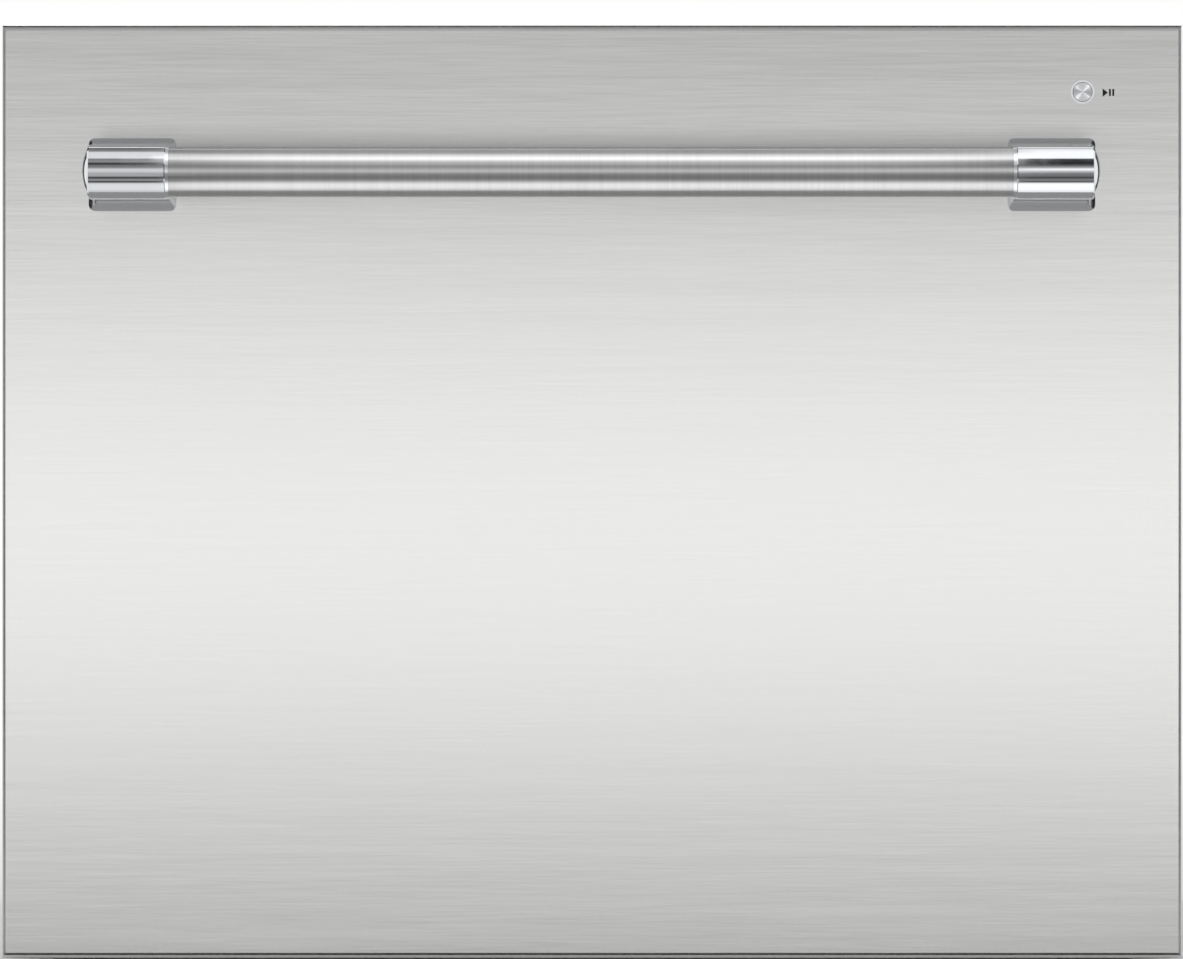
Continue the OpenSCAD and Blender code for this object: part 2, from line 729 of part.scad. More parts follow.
lid_edge_f = tub_setback - 4;
lid_y0 = back(lid_edge_f) + 0.5;
lid_y1 = tub_y0 + tub_d + 4;
lid_half_w = tub_w / 2 + 4;
tower_r = 11;
tower_wall = 2.5;
tower_h = 22;
pin_head_t = 2.5;
pin_head_r = tower_r - tower_wall - 1;
pin_head_z = lid_top_z + 2;
module each_guide() {
    for (side = [-1, 1], y = [lid_y0 + 70, lid_y1 - 70])
        translate([side * (lid_half_w - 45), y, 0]) children();
}

module lid() {
    rib_h = 8;
    color("white") difference() {
        union() {
            translate([0, (lid_y0 + lid_y1) / 2, lid_z]) linear_extrude(lid_t)
                rounded(2 * lid_half_w, lid_y1 - lid_y0, tub_corner_r);
            each_guide() translate([0, 0, lid_z]) cylinder(r = tower_r, h = lid_t + tower_h);
            for (x = [-120, 0, 120])
                box_from([x - 1.5, lid_y0 + 30, lid_top_z - eps], [x + 1.5, lid_y1 - 30, lid_top_z + rib_h]);
            for (y = [lid_y0 + 120, lid_y1 - 120])
                box_from([-lid_half_w + 60, y - 1.5, lid_top_z - eps],
                         [lid_half_w - 60, y + 1.5, lid_top_z + rib_h]);
        }
        each_guide() {
            translate([0, 0, lid_top_z]) cylinder(r = tower_r - tower_wall, h = tower_h - tower_wall);
            translate([0, 0, lid_top_z]) cylinder(r = guide_pin_d / 2 + fit_gap, h = tower_h + eps);
        }
    }
}

seal_w = 8;
module lid_seal() {
    d = lid_y1 - lid_y0;
    color(DARK) translate([0, (lid_y0 + lid_y1) / 2, seal_z]) difference() {
        linear_extrude(seal_t) rounded(2 * lid_half_w, d, tub_corner_r);
        translate([0, 0, -eps]) linear_extrude(seal_t + 2 * eps)
            rounded(2 * lid_half_w - 2 * seal_w, d - 2 * seal_w, tub_corner_r - seal_w);
    }
}

module lid_guide_pins() {
    color(ZINC) each_guide() {
        translate([0, 0, pin_head_z]) cylinder(r = pin_head_r, h = pin_head_t);
        translate([0, 0, pin_head_z]) cylinder(d = guide_pin_d, h = top_inner_z - pin_head_z);
    }
}

// Compression springs between the pin heads and the tower caps: each holds the lid up
spring_z0 = pin_head_z + pin_head_t;
spring_z1 = lid_top_z + tower_h - tower_wall;
module lid_springs() {
    color(ZINC) each_guide() translate([0, 0, spring_z0]) difference() {
        cylinder(r = guide_pin_d / 2 + 2.6, h = spring_z1 - spring_z0);
        translate([0, 0, -eps]) cylinder(r = guide_pin_d / 2 + 1, h = spring_z1 - spring_z0 + 2 * eps);
    }
}

plunger_r = 5;
actuator_w = 34;
actuator_l = 74;
actuator_h = 20;
module each_actuator() {
    for (side = [-1, 1]) translate([side * (lid_half_w - 100), tub_yc, 0]) children();
}
module lid_actuators() {
    color(DARK) each_actuator() difference() {
        translate([0, 0, top_inner_z - actuator_h]) linear_extrude(actuator_h)
            rounded(actuator_w, actuator_l, 5);
        translate([0, 0, top_inner_z - actuator_h - eps])
            cylinder(r = plunger_r + fit_gap, h = actuator_h - 3 + eps);
    }
}
module lid_plungers() {
    color(CHROME) each_actuator() {
        translate([0, 0, lid_top_z]) cylinder(r = plunger_r, h = top_inner_z - 6 - lid_top_z);
        translate([0, 0, lid_top_z]) cylinder(r = plunger_r + 4, h = 2);
    }
}

// ---- Services at the rear ----

wall_y = rear_inner_y;
// A connector's stub through the rear panel: a slimmer neck in the hole, then the full radius
neck_relief = 0.6;
neck_l = 1;
module connector(r) {
    rod_y(0, 0, 0, r - neck_relief, steel + neck_l + eps);
    rod_y(0, steel + neck_l, 0, r, connector_l - neck_l);
}

module inlet_valve() {
    translate([inlet_x, wall_y, inlet_z]) {
        color("white") {
            connector(inlet_thread_r);
            rod_y(0, -4, 0, 19, 4);
            translate([-16, -30, -16]) cube([32, 26, 32]);
        }
        color(DARK) translate([-11, -28, 16]) cube([22, 22, 26]);
    }
}

module drain_outlet() {
    color(DARK) translate([drain_x, wall_y, drain_z]) difference() {
        union() {
            connector(drain_spigot_r);
            rod_y(0, -4, 0, 17, 4);
            rod_y(0, drain_hose_y - wall_y, 0, drain_spigot_r + 1, wall_y - drain_hose_y);
            // elbow up to the end of the drain hose
            translate([0, drain_hose_y - wall_y, 0]) sphere(r = drain_spigot_r + 1);
            translate([0, drain_hose_y - wall_y, 0]) cylinder(r = drain_hose_r, h = drain_spigot_r + 6);
        }
        rod_y(0, -10, 0, drain_spigot_r - 2.5, 10 + steel + connector_l + eps);
    }
}

gland_l = 12;
module cable_gland() {
    color(DARK) translate([gland_x, wall_y, gland_z]) {
        difference() {
            union() {
                rod_y(0, 0, 0, gland_r, steel + gland_l);
                rod_y(0, steel, 0, gland_r + 4, 4, fn = 6);
                translate([-30, -28, -22]) cube([60, 28, 50]);
            }
            rod_y(0, -10, 0, gland_bore_r, 10 + steel + gland_l + eps);
        }
    }
}

// A quarter bend of hose in the X-Z plane, from angle a0, centred at x, z
module bend(x, y, z, r_bend, r, a0) {
    translate([x, y, z]) rotate([90, 0, 0]) rotate([0, 0, a0])
        rotate_extrude(angle = 90) translate([r_bend, 0]) circle(r = r);
}

// Inlet and drain hoses that loop between the chassis and the drawer, behind the tub
hose_loop_z = 250;
inlet_hose_r = 6;
drain_hose_r = 9;
module link_hose(x_a, x_b, y, z_a, z_b, top_z, r, r_bend) {
    dir = x_b > x_a ? 1 : -1;
    translate([x_a, y, z_a]) cylinder(r = r, h = top_z - z_a);
    translate([x_b, y, z_b]) cylinder(r = r, h = top_z - z_b);
    bend(x_a + dir * r_bend, y, top_z, r_bend, r, dir > 0 ? 90 : 0);
    bend(x_b - dir * r_bend, y, top_z, r_bend, r, dir > 0 ? 0 : 90);
    rod_x(min(x_a, x_b) + r_bend, y, top_z + r_bend, r, abs(x_b - x_a) - 2 * r_bend);
}
module link_hoses() {
    color(DARK) {
        link_hose(inlet_x, port_x, inlet_hose_y, inlet_z + 42, hose_end_z, hose_loop_z, inlet_hose_r, 30);
        link_hose(drain_x, well_x, drain_hose_y, drain_z + drain_spigot_r + 6, hose_end_z,
                  hose_loop_z + 20, drain_hose_r, 36);
    }
}

// ---- Tub and what is fixed to it ----

rim_t = 4;
well_x = 105;
well_r = filter_cup_r + 1;
well_z = tub_z - 21;
sump_floor_z = tub_floor_z - sump_depth;
shaft_r = 4;
port_x = -60;
port_r = 5;
hose_end_z = 110;
inlet_hose_y = wall_y - 17;
drain_hose_y = wall_y - 14;
module tub() {
    color(TUB_GREY) difference() {
        union() {
            translate([0, tub_yc, tub_z]) linear_extrude(tub_h) rounded(tub_w, tub_d, tub_corner_r);
            translate([0, tub_yc, rim_z - rim_t]) linear_extrude(rim_t)
                rounded(tub_w + 2 * rim_w, tub_d + 2 * rim_w, tub_corner_r + rim_w);
            translate([0, tub_yc, sump_floor_z - tub_wall])
                cylinder(r = sump_r + tub_wall, h = sump_depth + tub_wall);
            translate([well_x, tub_yc, well_z]) cylinder(r = well_r + tub_wall, h = tub_floor_z - well_z);
            // port for the inlet hose
            rod_y(port_x, tub_y0 + tub_d - 1, hose_end_z - 6, port_r, inlet_hose_y - tub_y0 - tub_d + 1);
            translate([port_x, inlet_hose_y, hose_end_z - 6]) cylinder(r = port_r, h = 6);
            translate([port_x, inlet_hose_y, hose_end_z - 6]) sphere(r = port_r);
        }
        translate([0, tub_yc, tub_floor_z]) linear_extrude(tub_h)
            rounded(tub_w - 2 * tub_wall, tub_d - 2 * tub_wall, tub_corner_r - tub_wall);
        translate([0, tub_yc, sump_floor_z]) cylinder(r = sump_r, h = tub_h);
        translate([well_x, tub_yc, well_z + tub_wall]) cylinder(r = well_r, h = tub_h);
        translate([0, tub_yc, sump_floor_z - tub_wall - eps]) cylinder(r = shaft_r + 2, h = tub_h);
    }
}

// Z-section brackets that carry the tub on the inner rails
module runner_brackets() {
    t = 2;
    rail_x = side_inner_x - inner_u - rail_t;
    z = rail_z + inner_half - 5;
    y0 = max(rail_y0, tub_y0) + tub_corner_r;
    y1 = tub_y0 + tub_d - tub_corner_r;
    color(ZINC) for (side = [-1, 1]) on_side(side) {
        box_from([rail_x - t, y0, rail_z - inner_half], [rail_x, y1, z]);
        box_from([tub_w / 2, y0, z - t], [rail_x, y1, z]);
        box_from([tub_w / 2, y0, z - t], [tub_w / 2 + t, y1, z + 26]);
    }
}

// ---- Detergent dispenser on the inside of the tub's front wall ----

disp_x0 = -150;
disp_w = 130;
disp_z0 = rim_z - 90;
disp_h = 76;
disp_d = 20;
disp_y = tub_y0 + tub_wall;
disp_face_y = disp_y + disp_d;
cup_w = 65;
cup_h = 54;
cup_d = 14;
hinge_y = disp_face_y + 4;
hinge_z = disp_z0 + disp_h - 6;
hinge_pin_r = 1.5;
hinge_x0 = disp_x0 + 4;
hinge_l = cup_w + 13;
cap_x = disp_x0 + disp_w - 26;
cap_z = disp_z0 + disp_h / 2;
cap_r = 15;
cap_stem_r = 9;
module dispenser_body() {
    color("white") {
        difference() {
            translate([disp_x0 + disp_w / 2, disp_face_y, disp_z0 + disp_h / 2]) rotate([90, 0, 0])
                linear_extrude(disp_d) rounded(disp_w, disp_h, 8);
            box_from([disp_x0 + 10, disp_face_y - cup_d, disp_z0 + 9],
                     [disp_x0 + 10 + cup_w, disp_face_y + eps, disp_z0 + 9 + cup_h]);
            rod_y(cap_x, disp_face_y - 10, cap_z, cap_stem_r + fit_gap, 10 + eps);
        }
        // two ears and the pin of the cup's door
        for (x = [hinge_x0 - 3, hinge_x0 + hinge_l])
            box_from([x, disp_face_y - eps, hinge_z - 4], [x + 3, hinge_y + 4, hinge_z + 4]);
    }
    color(CHROME) rod_x(hinge_x0, hinge_y, hinge_z, hinge_pin_r, hinge_l);
}

module dispenser_door() {
    t = 2.5;
    color(TRIM_GREY) difference() {
        union() {
            rod_x(hinge_x0 + run_gap, hinge_y, hinge_z, hinge_pin_r + 1.8, hinge_l - 2 * run_gap);
            box_from([hinge_x0 + run_gap, disp_face_y + run_gap, disp_z0 + 5],
                     [hinge_x0 + hinge_l - run_gap, disp_face_y + run_gap + t, hinge_z]);
            box_from([disp_x0 + 10 + cup_w / 2 - 12, disp_face_y + run_gap + t - eps, disp_z0 + 8],
                     [disp_x0 + 10 + cup_w / 2 + 12, disp_face_y + run_gap + t + 2, disp_z0 + 12]);
        }
        rod_x(hinge_x0 - eps, hinge_y, hinge_z, hinge_pin_r + fit_gap, hinge_l + 2 * eps);
    }
}

module rinse_cap() {
    color(DARK) translate([cap_x, disp_face_y, cap_z]) {
        rod_y(0, run_gap, 0, cap_r, 4);
        rod_y(0, -9, 0, cap_stem_r, 9 + run_gap + eps);
        translate([-cap_r + 3, run_gap + 4 - eps, -2]) cube([2 * cap_r - 6, 4, 4]);
    }
}

// ---- Wash system ----

plate_t = 2;
plate_rings = [90, 104, 118, 130];
plate_holes = 20;
cover_r = sump_r - 0.5;
cover_top_z = tub_floor_z + plate_t;
module filter_plate() {
    color(ZINC) translate([0, tub_yc, tub_floor_z]) difference() {
        cylinder(r = filter_plate_r, h = plate_t);
        translate([0, 0, -eps]) cylinder(r = cover_r + 1, h = plate_t + 2 * eps);
        translate([well_x, 0, -eps]) cylinder(r = well_r, h = plate_t + 2 * eps);
        for (r = plate_rings, i = [0 : plate_holes - 1]) {
            a = (i + 0.5) * 360 / plate_holes;
            if (norm([r * cos(a) - well_x, r * sin(a)]) > well_r + 5)
                translate([r * cos(a), r * sin(a), -eps])
                    cylinder(r = 2.5, h = plate_t + 2 * eps, $fn = 16);
        }
    }
}

module filter_cup() {
    wall = 1.5;
    z0 = well_z + tub_wall + 1;
    top = tub_floor_z + plate_t + run_gap;
    color(TRIM_GREY) translate([well_x, tub_yc, 0]) {
        difference() {
            union() {
                translate([0, 0, z0]) cylinder(r = filter_cup_r, h = top - z0 + 2);
                translate([0, 0, top]) cylinder(r = well_r + 3, h = 2);
            }
            translate([0, 0, z0 + wall]) cylinder(r = filter_cup_r - wall, h = top);
            for (a = [0 : 45 : 315]) rotate(a) translate([filter_cup_r - 3, -2, z0 + 5]) cube([6, 4, 12]);
        }
        translate([-filter_cup_r + 0.5, -2.5, top]) cube([2 * filter_cup_r - 1, 5, 5]);
    }
}

nozzle_r = 9;
arm_z = tub_floor_z + 10;
hub_r = 21;
hub_h = 18;
module sump_cover() {
    z0 = sump_floor_z + 9;
    color(TRIM_GREY) translate([0, tub_yc, 0]) difference() {
        union() {
            translate([0, 0, z0]) cylinder(r = cover_r, h = cover_top_z - z0);
            for (a = [15 : 120 : 255]) rotate(a) translate([cover_r - 6, 0, sump_floor_z])
                cylinder(r = 3, h = z0 - sump_floor_z + eps);
            translate([0, 0, cover_top_z - eps]) {
                cylinder(r = nozzle_r + 6, h = arm_z - cover_top_z - run_gap + eps);
                cylinder(r = nozzle_r, h = arm_z + 10 - cover_top_z + eps);
            }
        }
        translate([0, 0, z0 - eps]) cylinder(r = nozzle_r - 2.5, h = 60);
        for (a = [0 : 30 : 330]) rotate(a) translate([42, -2.5, z0 - eps]) cube([20, 5, 40]);
    }
}

// One blade seen from above, from the hub outwards
module blade_plan(l) {
    polygon([[0, -19], [l - 30, -14], [l - 8, -9], [l, 0], [l - 8, 9], [l - 30, 14], [0, 19]]);
}
jets = 5;
module spray_arm() {
    blade_h = 9;
    half = spray_arm_l / 2;
    color(TRIM_GREY) translate([0, tub_yc, arm_z]) difference() {
        union() {
            cylinder(r = hub_r, h = hub_h);
            for (a = [0, 180]) rotate(a) translate([0, 0, 5]) linear_extrude(blade_h) blade_plan(half);
            translate([0, 0, hub_h]) cylinder(r1 = hub_r, r2 = hub_r - 6, h = 4);
        }
        translate([0, 0, -eps]) cylinder(r = nozzle_r + fit_gap, h = 10 + run_gap + eps);
        for (a = [0, 180], i = [0 : jets - 1]) rotate(a)
            translate([45 + i * (half - 70) / (jets - 1), (i % 2) * 8 - 4, 10])
                cylinder(r = 1.6, h = 20, $fn = 16);
    }
}

motor_top_z = sump_floor_z - tub_wall;
motor_h = 32;
motor_wall = 3;
motor_z0 = motor_top_z - motor_h;
rotor_r = 36;
rotor_h = 18;
rotor_z = motor_z0 + motor_wall + 3;
module wash_motor() {
    z0 = motor_z0;
    translate([0, tub_yc, 0]) {
        color(DARK) difference() {
            union() {
                translate([0, 0, z0]) cylinder(r = motor_r, h = motor_h);
                // four lugs that hang the motor from the sump
                for (a = [45 : 90 : 315]) rotate(a) translate([motor_r + 3, 0, motor_top_z - 8])
                    cylinder(r = 7, h = 8);
            }
            translate([0, 0, z0 + motor_wall]) {
                cylinder(r = motor_r - motor_wall, h = motor_h - 2 * motor_wall);
                cylinder(r = shaft_r + fit_gap, h = motor_h);
            }
        }
        // lower bearing
        color(DARK) translate([0, 0, z0 + motor_wall]) difference() {
            cylinder(r = shaft_r + 5, h = rotor_z - z0 - motor_wall - run_gap);
            cylinder(r = shaft_r + fit_gap, h = motor_h);
        }
        // windings
        color("chocolate") translate([0, 0, rotor_z]) difference() {
            cylinder(r = motor_r - motor_wall, h = rotor_h);
            translate([0, 0, -eps]) cylinder(r = rotor_r + 1, h = rotor_h + 2 * eps);
        }
    }
}

impeller_r = 34;
module wash_rotor() {
    impeller_z = sump_floor_z + 2;
    shaft_z = motor_z0 + motor_wall + run_gap;
    blade_l = impeller_r - 9;
    translate([0, tub_yc, 0]) {
        color(ZINC) {
            translate([0, 0, rotor_z]) cylinder(r = rotor_r, h = rotor_h);
            translate([0, 0, shaft_z]) cylinder(r = shaft_r, h = impeller_z + 6 - shaft_z);
        }
        color(TRIM_GREY) {
            translate([0, 0, impeller_z]) cylinder(r = impeller_r, h = 2);
            for (a = [0 : 60 : 300]) rotate(a) translate([8, -1, impeller_z + 2 - eps])
                cube([blade_l, 2, 4 + eps]);
        }
    }
}

pump_y = tub_yc + motor_r + 16;
pump_z = tub_z - 31;
module drain_pump() {
    r = 24;
    outlet_r = 7;
    pipe_r = 5;
    pipe_z = well_z + 8;
    well_back_y = tub_yc + well_r + tub_wall + run_gap;
    color(DARK) {
        translate([well_x, pump_y, pump_z - 11]) cylinder(r = r, h = 22);
        rod_x(well_x - r - 42, pump_y, pump_z, 15, r + 20);
        // inlet pipe from the filter well, over the pump and down into it
        rod_y(well_x, well_back_y, pipe_z, pipe_r, pump_y - well_back_y);
        translate([well_x, pump_y, pipe_z]) sphere(r = pipe_r);
        translate([well_x, pump_y, pump_z]) cylinder(r = pipe_r, h = pipe_z - pump_z);
        rod_y(well_x, pump_y, pump_z, outlet_r, drain_hose_y - pump_y);
        translate([well_x, drain_hose_y, pump_z]) sphere(r = outlet_r);
        translate([well_x, drain_hose_y, pump_z]) cylinder(r = outlet_r, h = hose_end_z - pump_z);
        // pillar that hangs the pump from the tub's floor
        translate([well_x, pump_y + 14, pump_z]) cylinder(r = 7, h = tub_z - pump_z);
    }
}

// ---- Rack ----

rack_y0 = tub_yc - rack_d / 2;
rack_y1 = tub_yc + rack_d / 2;
rack_z = tub_floor_z + 46;
wire_r = wire_d / 2;
weld = 0.5;
cross_z = rack_z + wire_r;
long_z = cross_z + wire_d - weld;
tine_base_z = long_z + wire_d - weld;
shelf_z = tine_base_z + 94;
function cross_y(i) = rack_y0 + 15 + i * (rack_d - 30) / (rack_cross_wires - 1);
function long_x(i) = (i / (rack_long_wires - 1) - 0.5) * (rack_w - 36);
row_front_y = cross_y(1);
row_rear_y = cross_y(rack_cross_wires - 2);
fold_y = cross_y(floor(rack_cross_wires / 3));
fold_z = long_z + wire_d + run_gap;
fold_half = rack_w / 2 - 14;
fold_pairs = floor((fold_half - 16) / tine_pitch);
tine_r = 1.7;
basket_x0 = rack_w / 2 - 10 - basket_w;
basket_y0 = rack_y0 + 10;
front_row_x1 = basket_x0 - 14;
clip_w = 8;
fold_clip_x = [for (k = [-1, 0, 1]) k * (fold_pairs - 2) * tine_pitch];
shelf_x = rack_w / 2 - 9;
shelf_ribs = 10;
shelf_y0 = tub_y0 + 150;
function rib_y(i) = shelf_y0 + 4 + i * (cup_rack_l - 8) / (shelf_ribs - 1);
shelf_clip_y = [rib_y(1.5), rib_y(shelf_ribs - 2.5)];

module wire_x(x0, x1, y, z, r = wire_r) rod_x(x0, y, z, r, x1 - x0, fn = WIRE_FN);
module wire_y(x, y0, y1, z, r = wire_r) rod_y(x, y0, z, r, y1 - y0, fn = WIRE_FN);
module wire_z(x, y, z0, z1, r = wire_r) translate([x, y, z0]) cylinder(r = r, h = z1 - z0, $fn = WIRE_FN);

module rack() {
    half = rack_w / 2;
    top_z = rack_z + rack_h;
    color(WIRE_GREY) difference() {
        union() {
            for (i = [0 : rack_cross_wires - 1]) {
                wire_x(-half - wire_r, half + wire_r, cross_y(i), cross_z);
                for (x = [-half, half]) wire_z(x, cross_y(i), cross_z - wire_r, top_z);
            }
            for (i = [0 : rack_long_wires - 1]) {
                wire_y(long_x(i), rack_y0 - wire_r, rack_y1 + wire_r, long_z);
                for (y = [rack_y0, rack_y1]) wire_z(long_x(i), y, long_z - wire_r, top_z);
            }
            for (z = [top_z, shelf_z]) {
                for (y = [rack_y0, rack_y1]) wire_x(-half - wire_r, half + wire_r, y, z);
                for (x = [-half, half]) wire_y(x, rack_y0, rack_y1, z);
            }
            // two fixed rows of tines on their carrier wires
            wire_x(-half + 10, front_row_x1, row_front_y, tine_base_z);
            for (x = [-half + 30 : tine_pitch : front_row_x1 - 5])
                wire_z(x, row_front_y, tine_base_z, rack_z + tine_h, tine_r);
            wire_x(-half + 10, half - 10, row_rear_y, tine_base_z);
            for (x = [-half + 30 : tine_pitch : half - 25])
                wire_z(x, row_rear_y, tine_base_z, rack_z + tine_h, tine_r);
            // legs that stand on the tub's floor
            for (i = [0, rack_long_wires - 1], k = [0, rack_cross_wires - 1])
                wire_z(long_x(i), cross_y(k), tub_floor_z + run_gap, long_z, 4);
            // clips for the folding tines and the cup racks
            for (x = fold_clip_x)
                box_from([x - clip_w / 2, fold_y - 5, cross_z], [x + clip_w / 2, fold_y + 5, fold_z + 4.5]);
            for (s = [-1, 1], y = shelf_clip_y)
                box_from([min(s * (shelf_x - 4.5), s * (half + 1)), y - clip_w / 2, shelf_z - 4.5],
                         [max(s * (shelf_x - 4.5), s * (half + 1)), y + clip_w / 2, shelf_z + 4.5]);
        }
        rod_x(-fold_half, fold_y, fold_z, wire_r + fit_gap, 2 * fold_half);
        for (s = [-1, 1]) rod_y(s * shelf_x, shelf_y0, shelf_z, wire_r + fit_gap, cup_rack_l);
    }
}

module folding_tines() {
    color(WIRE_GREY) {
        rod_x(-fold_half, fold_y, fold_z, wire_r, 2 * fold_half);
        for (s = [-1, 1], i = [0 : fold_pairs - 1])
            wire_z(s * (i + 0.5) * tine_pitch, fold_y, fold_z, fold_z + tine_h, tine_r);
    }
}

module cup_rack(side) {
    color(WIRE_GREY) on_side(side) {
        rod_y(shelf_x, shelf_y0, shelf_z, wire_r, cup_rack_l);
        for (d = [cup_rack_w, cup_rack_w / 2])
            wire_y(shelf_x - d, shelf_y0, shelf_y0 + cup_rack_l, shelf_z);
        for (i = [0 : shelf_ribs - 1])
            wire_x(shelf_x - cup_rack_w - wire_r, shelf_x, rib_y(i), shelf_z, tine_r);
    }
}

compartments = 4;
basket_wall = 2;
module cutlery_basket() {
    z0 = long_z + wire_r;
    cell = (basket_w - basket_wall) / compartments;
    color(TRIM_GREY) difference() {
        translate([basket_x0 + basket_w / 2, basket_y0 + basket_d / 2, z0])
            linear_extrude(basket_h) rounded(basket_w, basket_d, 6);
        for (i = [0 : compartments - 1])
            box_from([basket_x0 + basket_wall + i * cell, basket_y0 + basket_wall, z0 + basket_wall],
                     [basket_x0 + (i + 1) * cell, basket_y0 + basket_d - basket_wall, z0 + basket_h + eps]);
    }
}

// ---- Nodes ----

side_sheet(-1);  // side_left
side_sheet(1);  // side_right
top_cover();
rear_panel();
base_tray();
chassis_screws();
cabinet_brackets();
rail_outer(-1);  // rail_outer_left
rail_outer(1);  // rail_outer_right
lid_guide_pins();
lid_actuators();
lid_springs();
inlet_valve();
drain_outlet();
cable_gland();
link_hoses();
foot(-1, foot_f[0]);  // foot_front_left
foot(1, foot_f[0]);  // foot_front_right
foot(-1, foot_f[1]);  // foot_rear_left
foot(1, foot_f[1]);  // foot_rear_right
lid();
lid_seal();
lid_plungers();
rail_mid(-1);  // rail_mid_left
rail_mid(1);  // rail_mid_right
outer_ball_cages();
inner_ball_cages();
front_panel();
door_insulation();
door_liner();
control_strip();
control_board();
handle_bar();
handle_post(-1);  // handle_post_left
handle_post(1);  // handle_post_right
handle_screws();
button_bezel();
button_switch();
start_button();
tub();
runner_brackets();
rail_inner(-1);  // rail_inner_left
rail_inner(1);  // rail_inner_right
dispenser_body();
dispenser_door();
rinse_cap();
filter_plate();
filter_cup();
sump_cover();
spray_arm();
wash_motor();
wash_rotor();
drain_pump();
fan_housing();
fan_rotor();
rack();
folding_tines();
cup_rack(-1);  // cup_rack_left
cup_rack(1);  // cup_rack_right
cutlery_basket();
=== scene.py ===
# %% [markdown]
# # Dressing a dishwasher drawer
#
# The object is a built-in dishwasher drawer: a brushed steel front with a bar handle, and behind it a
# zinc-coated steel box in which a wash tub runs on telescopic rails. The CAD model already gives each
# rigid piece its place and size. This notebook adds what the eye needs: real finishes, wire, rubber
# and moulded detail that CAD draws plainly, and a studio to look at them in.
# The first step is to load the model. All lengths are metres, with X across, Y to the back and Z up.

# %% Load the CAD model as a fixed frame
import bpy
import bmesh
import json
import math
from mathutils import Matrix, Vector


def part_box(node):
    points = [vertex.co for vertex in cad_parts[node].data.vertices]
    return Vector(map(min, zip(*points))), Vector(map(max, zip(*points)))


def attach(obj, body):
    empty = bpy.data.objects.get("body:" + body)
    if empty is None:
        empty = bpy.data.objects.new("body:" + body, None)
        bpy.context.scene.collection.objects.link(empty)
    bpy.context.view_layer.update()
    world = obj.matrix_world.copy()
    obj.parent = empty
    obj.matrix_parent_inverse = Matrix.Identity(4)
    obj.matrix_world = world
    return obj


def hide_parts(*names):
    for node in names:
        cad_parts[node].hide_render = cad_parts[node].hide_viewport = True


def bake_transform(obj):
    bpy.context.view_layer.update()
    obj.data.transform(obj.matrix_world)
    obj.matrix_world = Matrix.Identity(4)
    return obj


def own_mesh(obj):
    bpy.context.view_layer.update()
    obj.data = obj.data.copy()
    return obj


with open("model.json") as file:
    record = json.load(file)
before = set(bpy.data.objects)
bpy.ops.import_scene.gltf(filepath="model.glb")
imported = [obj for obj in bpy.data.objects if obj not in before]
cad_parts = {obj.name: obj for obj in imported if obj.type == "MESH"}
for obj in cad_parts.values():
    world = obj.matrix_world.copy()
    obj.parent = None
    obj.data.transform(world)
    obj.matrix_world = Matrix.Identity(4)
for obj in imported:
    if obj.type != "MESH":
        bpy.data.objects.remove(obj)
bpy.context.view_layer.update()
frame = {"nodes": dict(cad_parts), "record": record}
nodes = frame["nodes"]

# %% Sizes taken from the model
MM = 0.001


def ends(node):
    """The lowest and the highest corner of a node."""
    return [Vector(corner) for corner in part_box(node)]


panel_low, panel_high = ends("front_panel")
bar_low, bar_high = ends("handle_bar")
FACE_Y = panel_low.y
BAR = (bar_low + bar_high) / 2
PANEL_W = panel_high.x - panel_low.x


def back(f):
    """The Y of a point that lies f millimetres behind the front panel's face."""
    return FACE_Y + f * MM


print("panel width and height, mm:", round(PANEL_W / MM), round((panel_high.z - panel_low.z) / MM))

# %% [markdown]
# ## The camera
#
# The photograph looks straight at the front, and the panel fills it from edge to edge. Its verticals
# stay parallel, so the camera isn't tilted: like a view camera it is shifted instead. The handle's
# ends stand barely further apart than its feet, which tells how far away the lens was: almost four
# metres. The left end shows a little more, so it stood slightly right of the middle.

# %% Camera
IMAGE_W, IMAGE_H = 1183, 959
PANEL_PX, MIDDLE_COLUMN, TOP_ROW = 1180, 592, 25      # the panel's width and place in the photograph
PX_PER_M = PANEL_PX / PANEL_W
VIEW_W = IMAGE_W / PX_PER_M
DISTANCE, EYE_X, EYE_Z, SENSOR_MM = 3.8, 0.035, 0.285, 36
eye = Vector((EYE_X, FACE_Y - DISTANCE, EYE_Z))
aim_x = (IMAGE_W / 2 - MIDDLE_COLUMN) / PX_PER_M
aim_z = panel_high.z - (IMAGE_H / 2 - TOP_ROW) / PX_PER_M
lens = bpy.data.cameras.new("camera")
lens.sensor_width = SENSOR_MM
lens.lens = SENSOR_MM * DISTANCE / VIEW_W
lens.shift_x = (aim_x - eye.x) / VIEW_W
lens.shift_y = (aim_z - eye.z) / VIEW_W
camera = bpy.data.objects.new("camera", lens)
camera.location = eye
camera.rotation_euler = (math.pi / 2, 0, 0)
bpy.context.scene.collection.objects.link(camera)
bpy.context.scene.camera = camera
bpy.context.scene.view_settings.view_transform = "Standard"
print("lens, mm:", round(lens.lens), "shift:", round(lens.shift_x, 3), round(lens.shift_y, 3))

# %% [markdown]
# ## Two small helpers for materials
#
# Colours are written as they would be picked from a screen, in sRGB hex, and Blender wants linear
# light. A node graph is only nodes, values and links, so one function is enough to add any of them.

# %% Colour and node helpers
def linear(hex_colour):
    """An sRGB hex colour as linear red, green, blue and alpha."""
    parts = [int(hex_colour[i:i + 2], 16) / 255 for i in (1, 3, 5)]
    return [c / 12.92 if c <= 0.04045 else ((c + 0.055) / 1.055) ** 2.4 for c in parts] + [1.0]


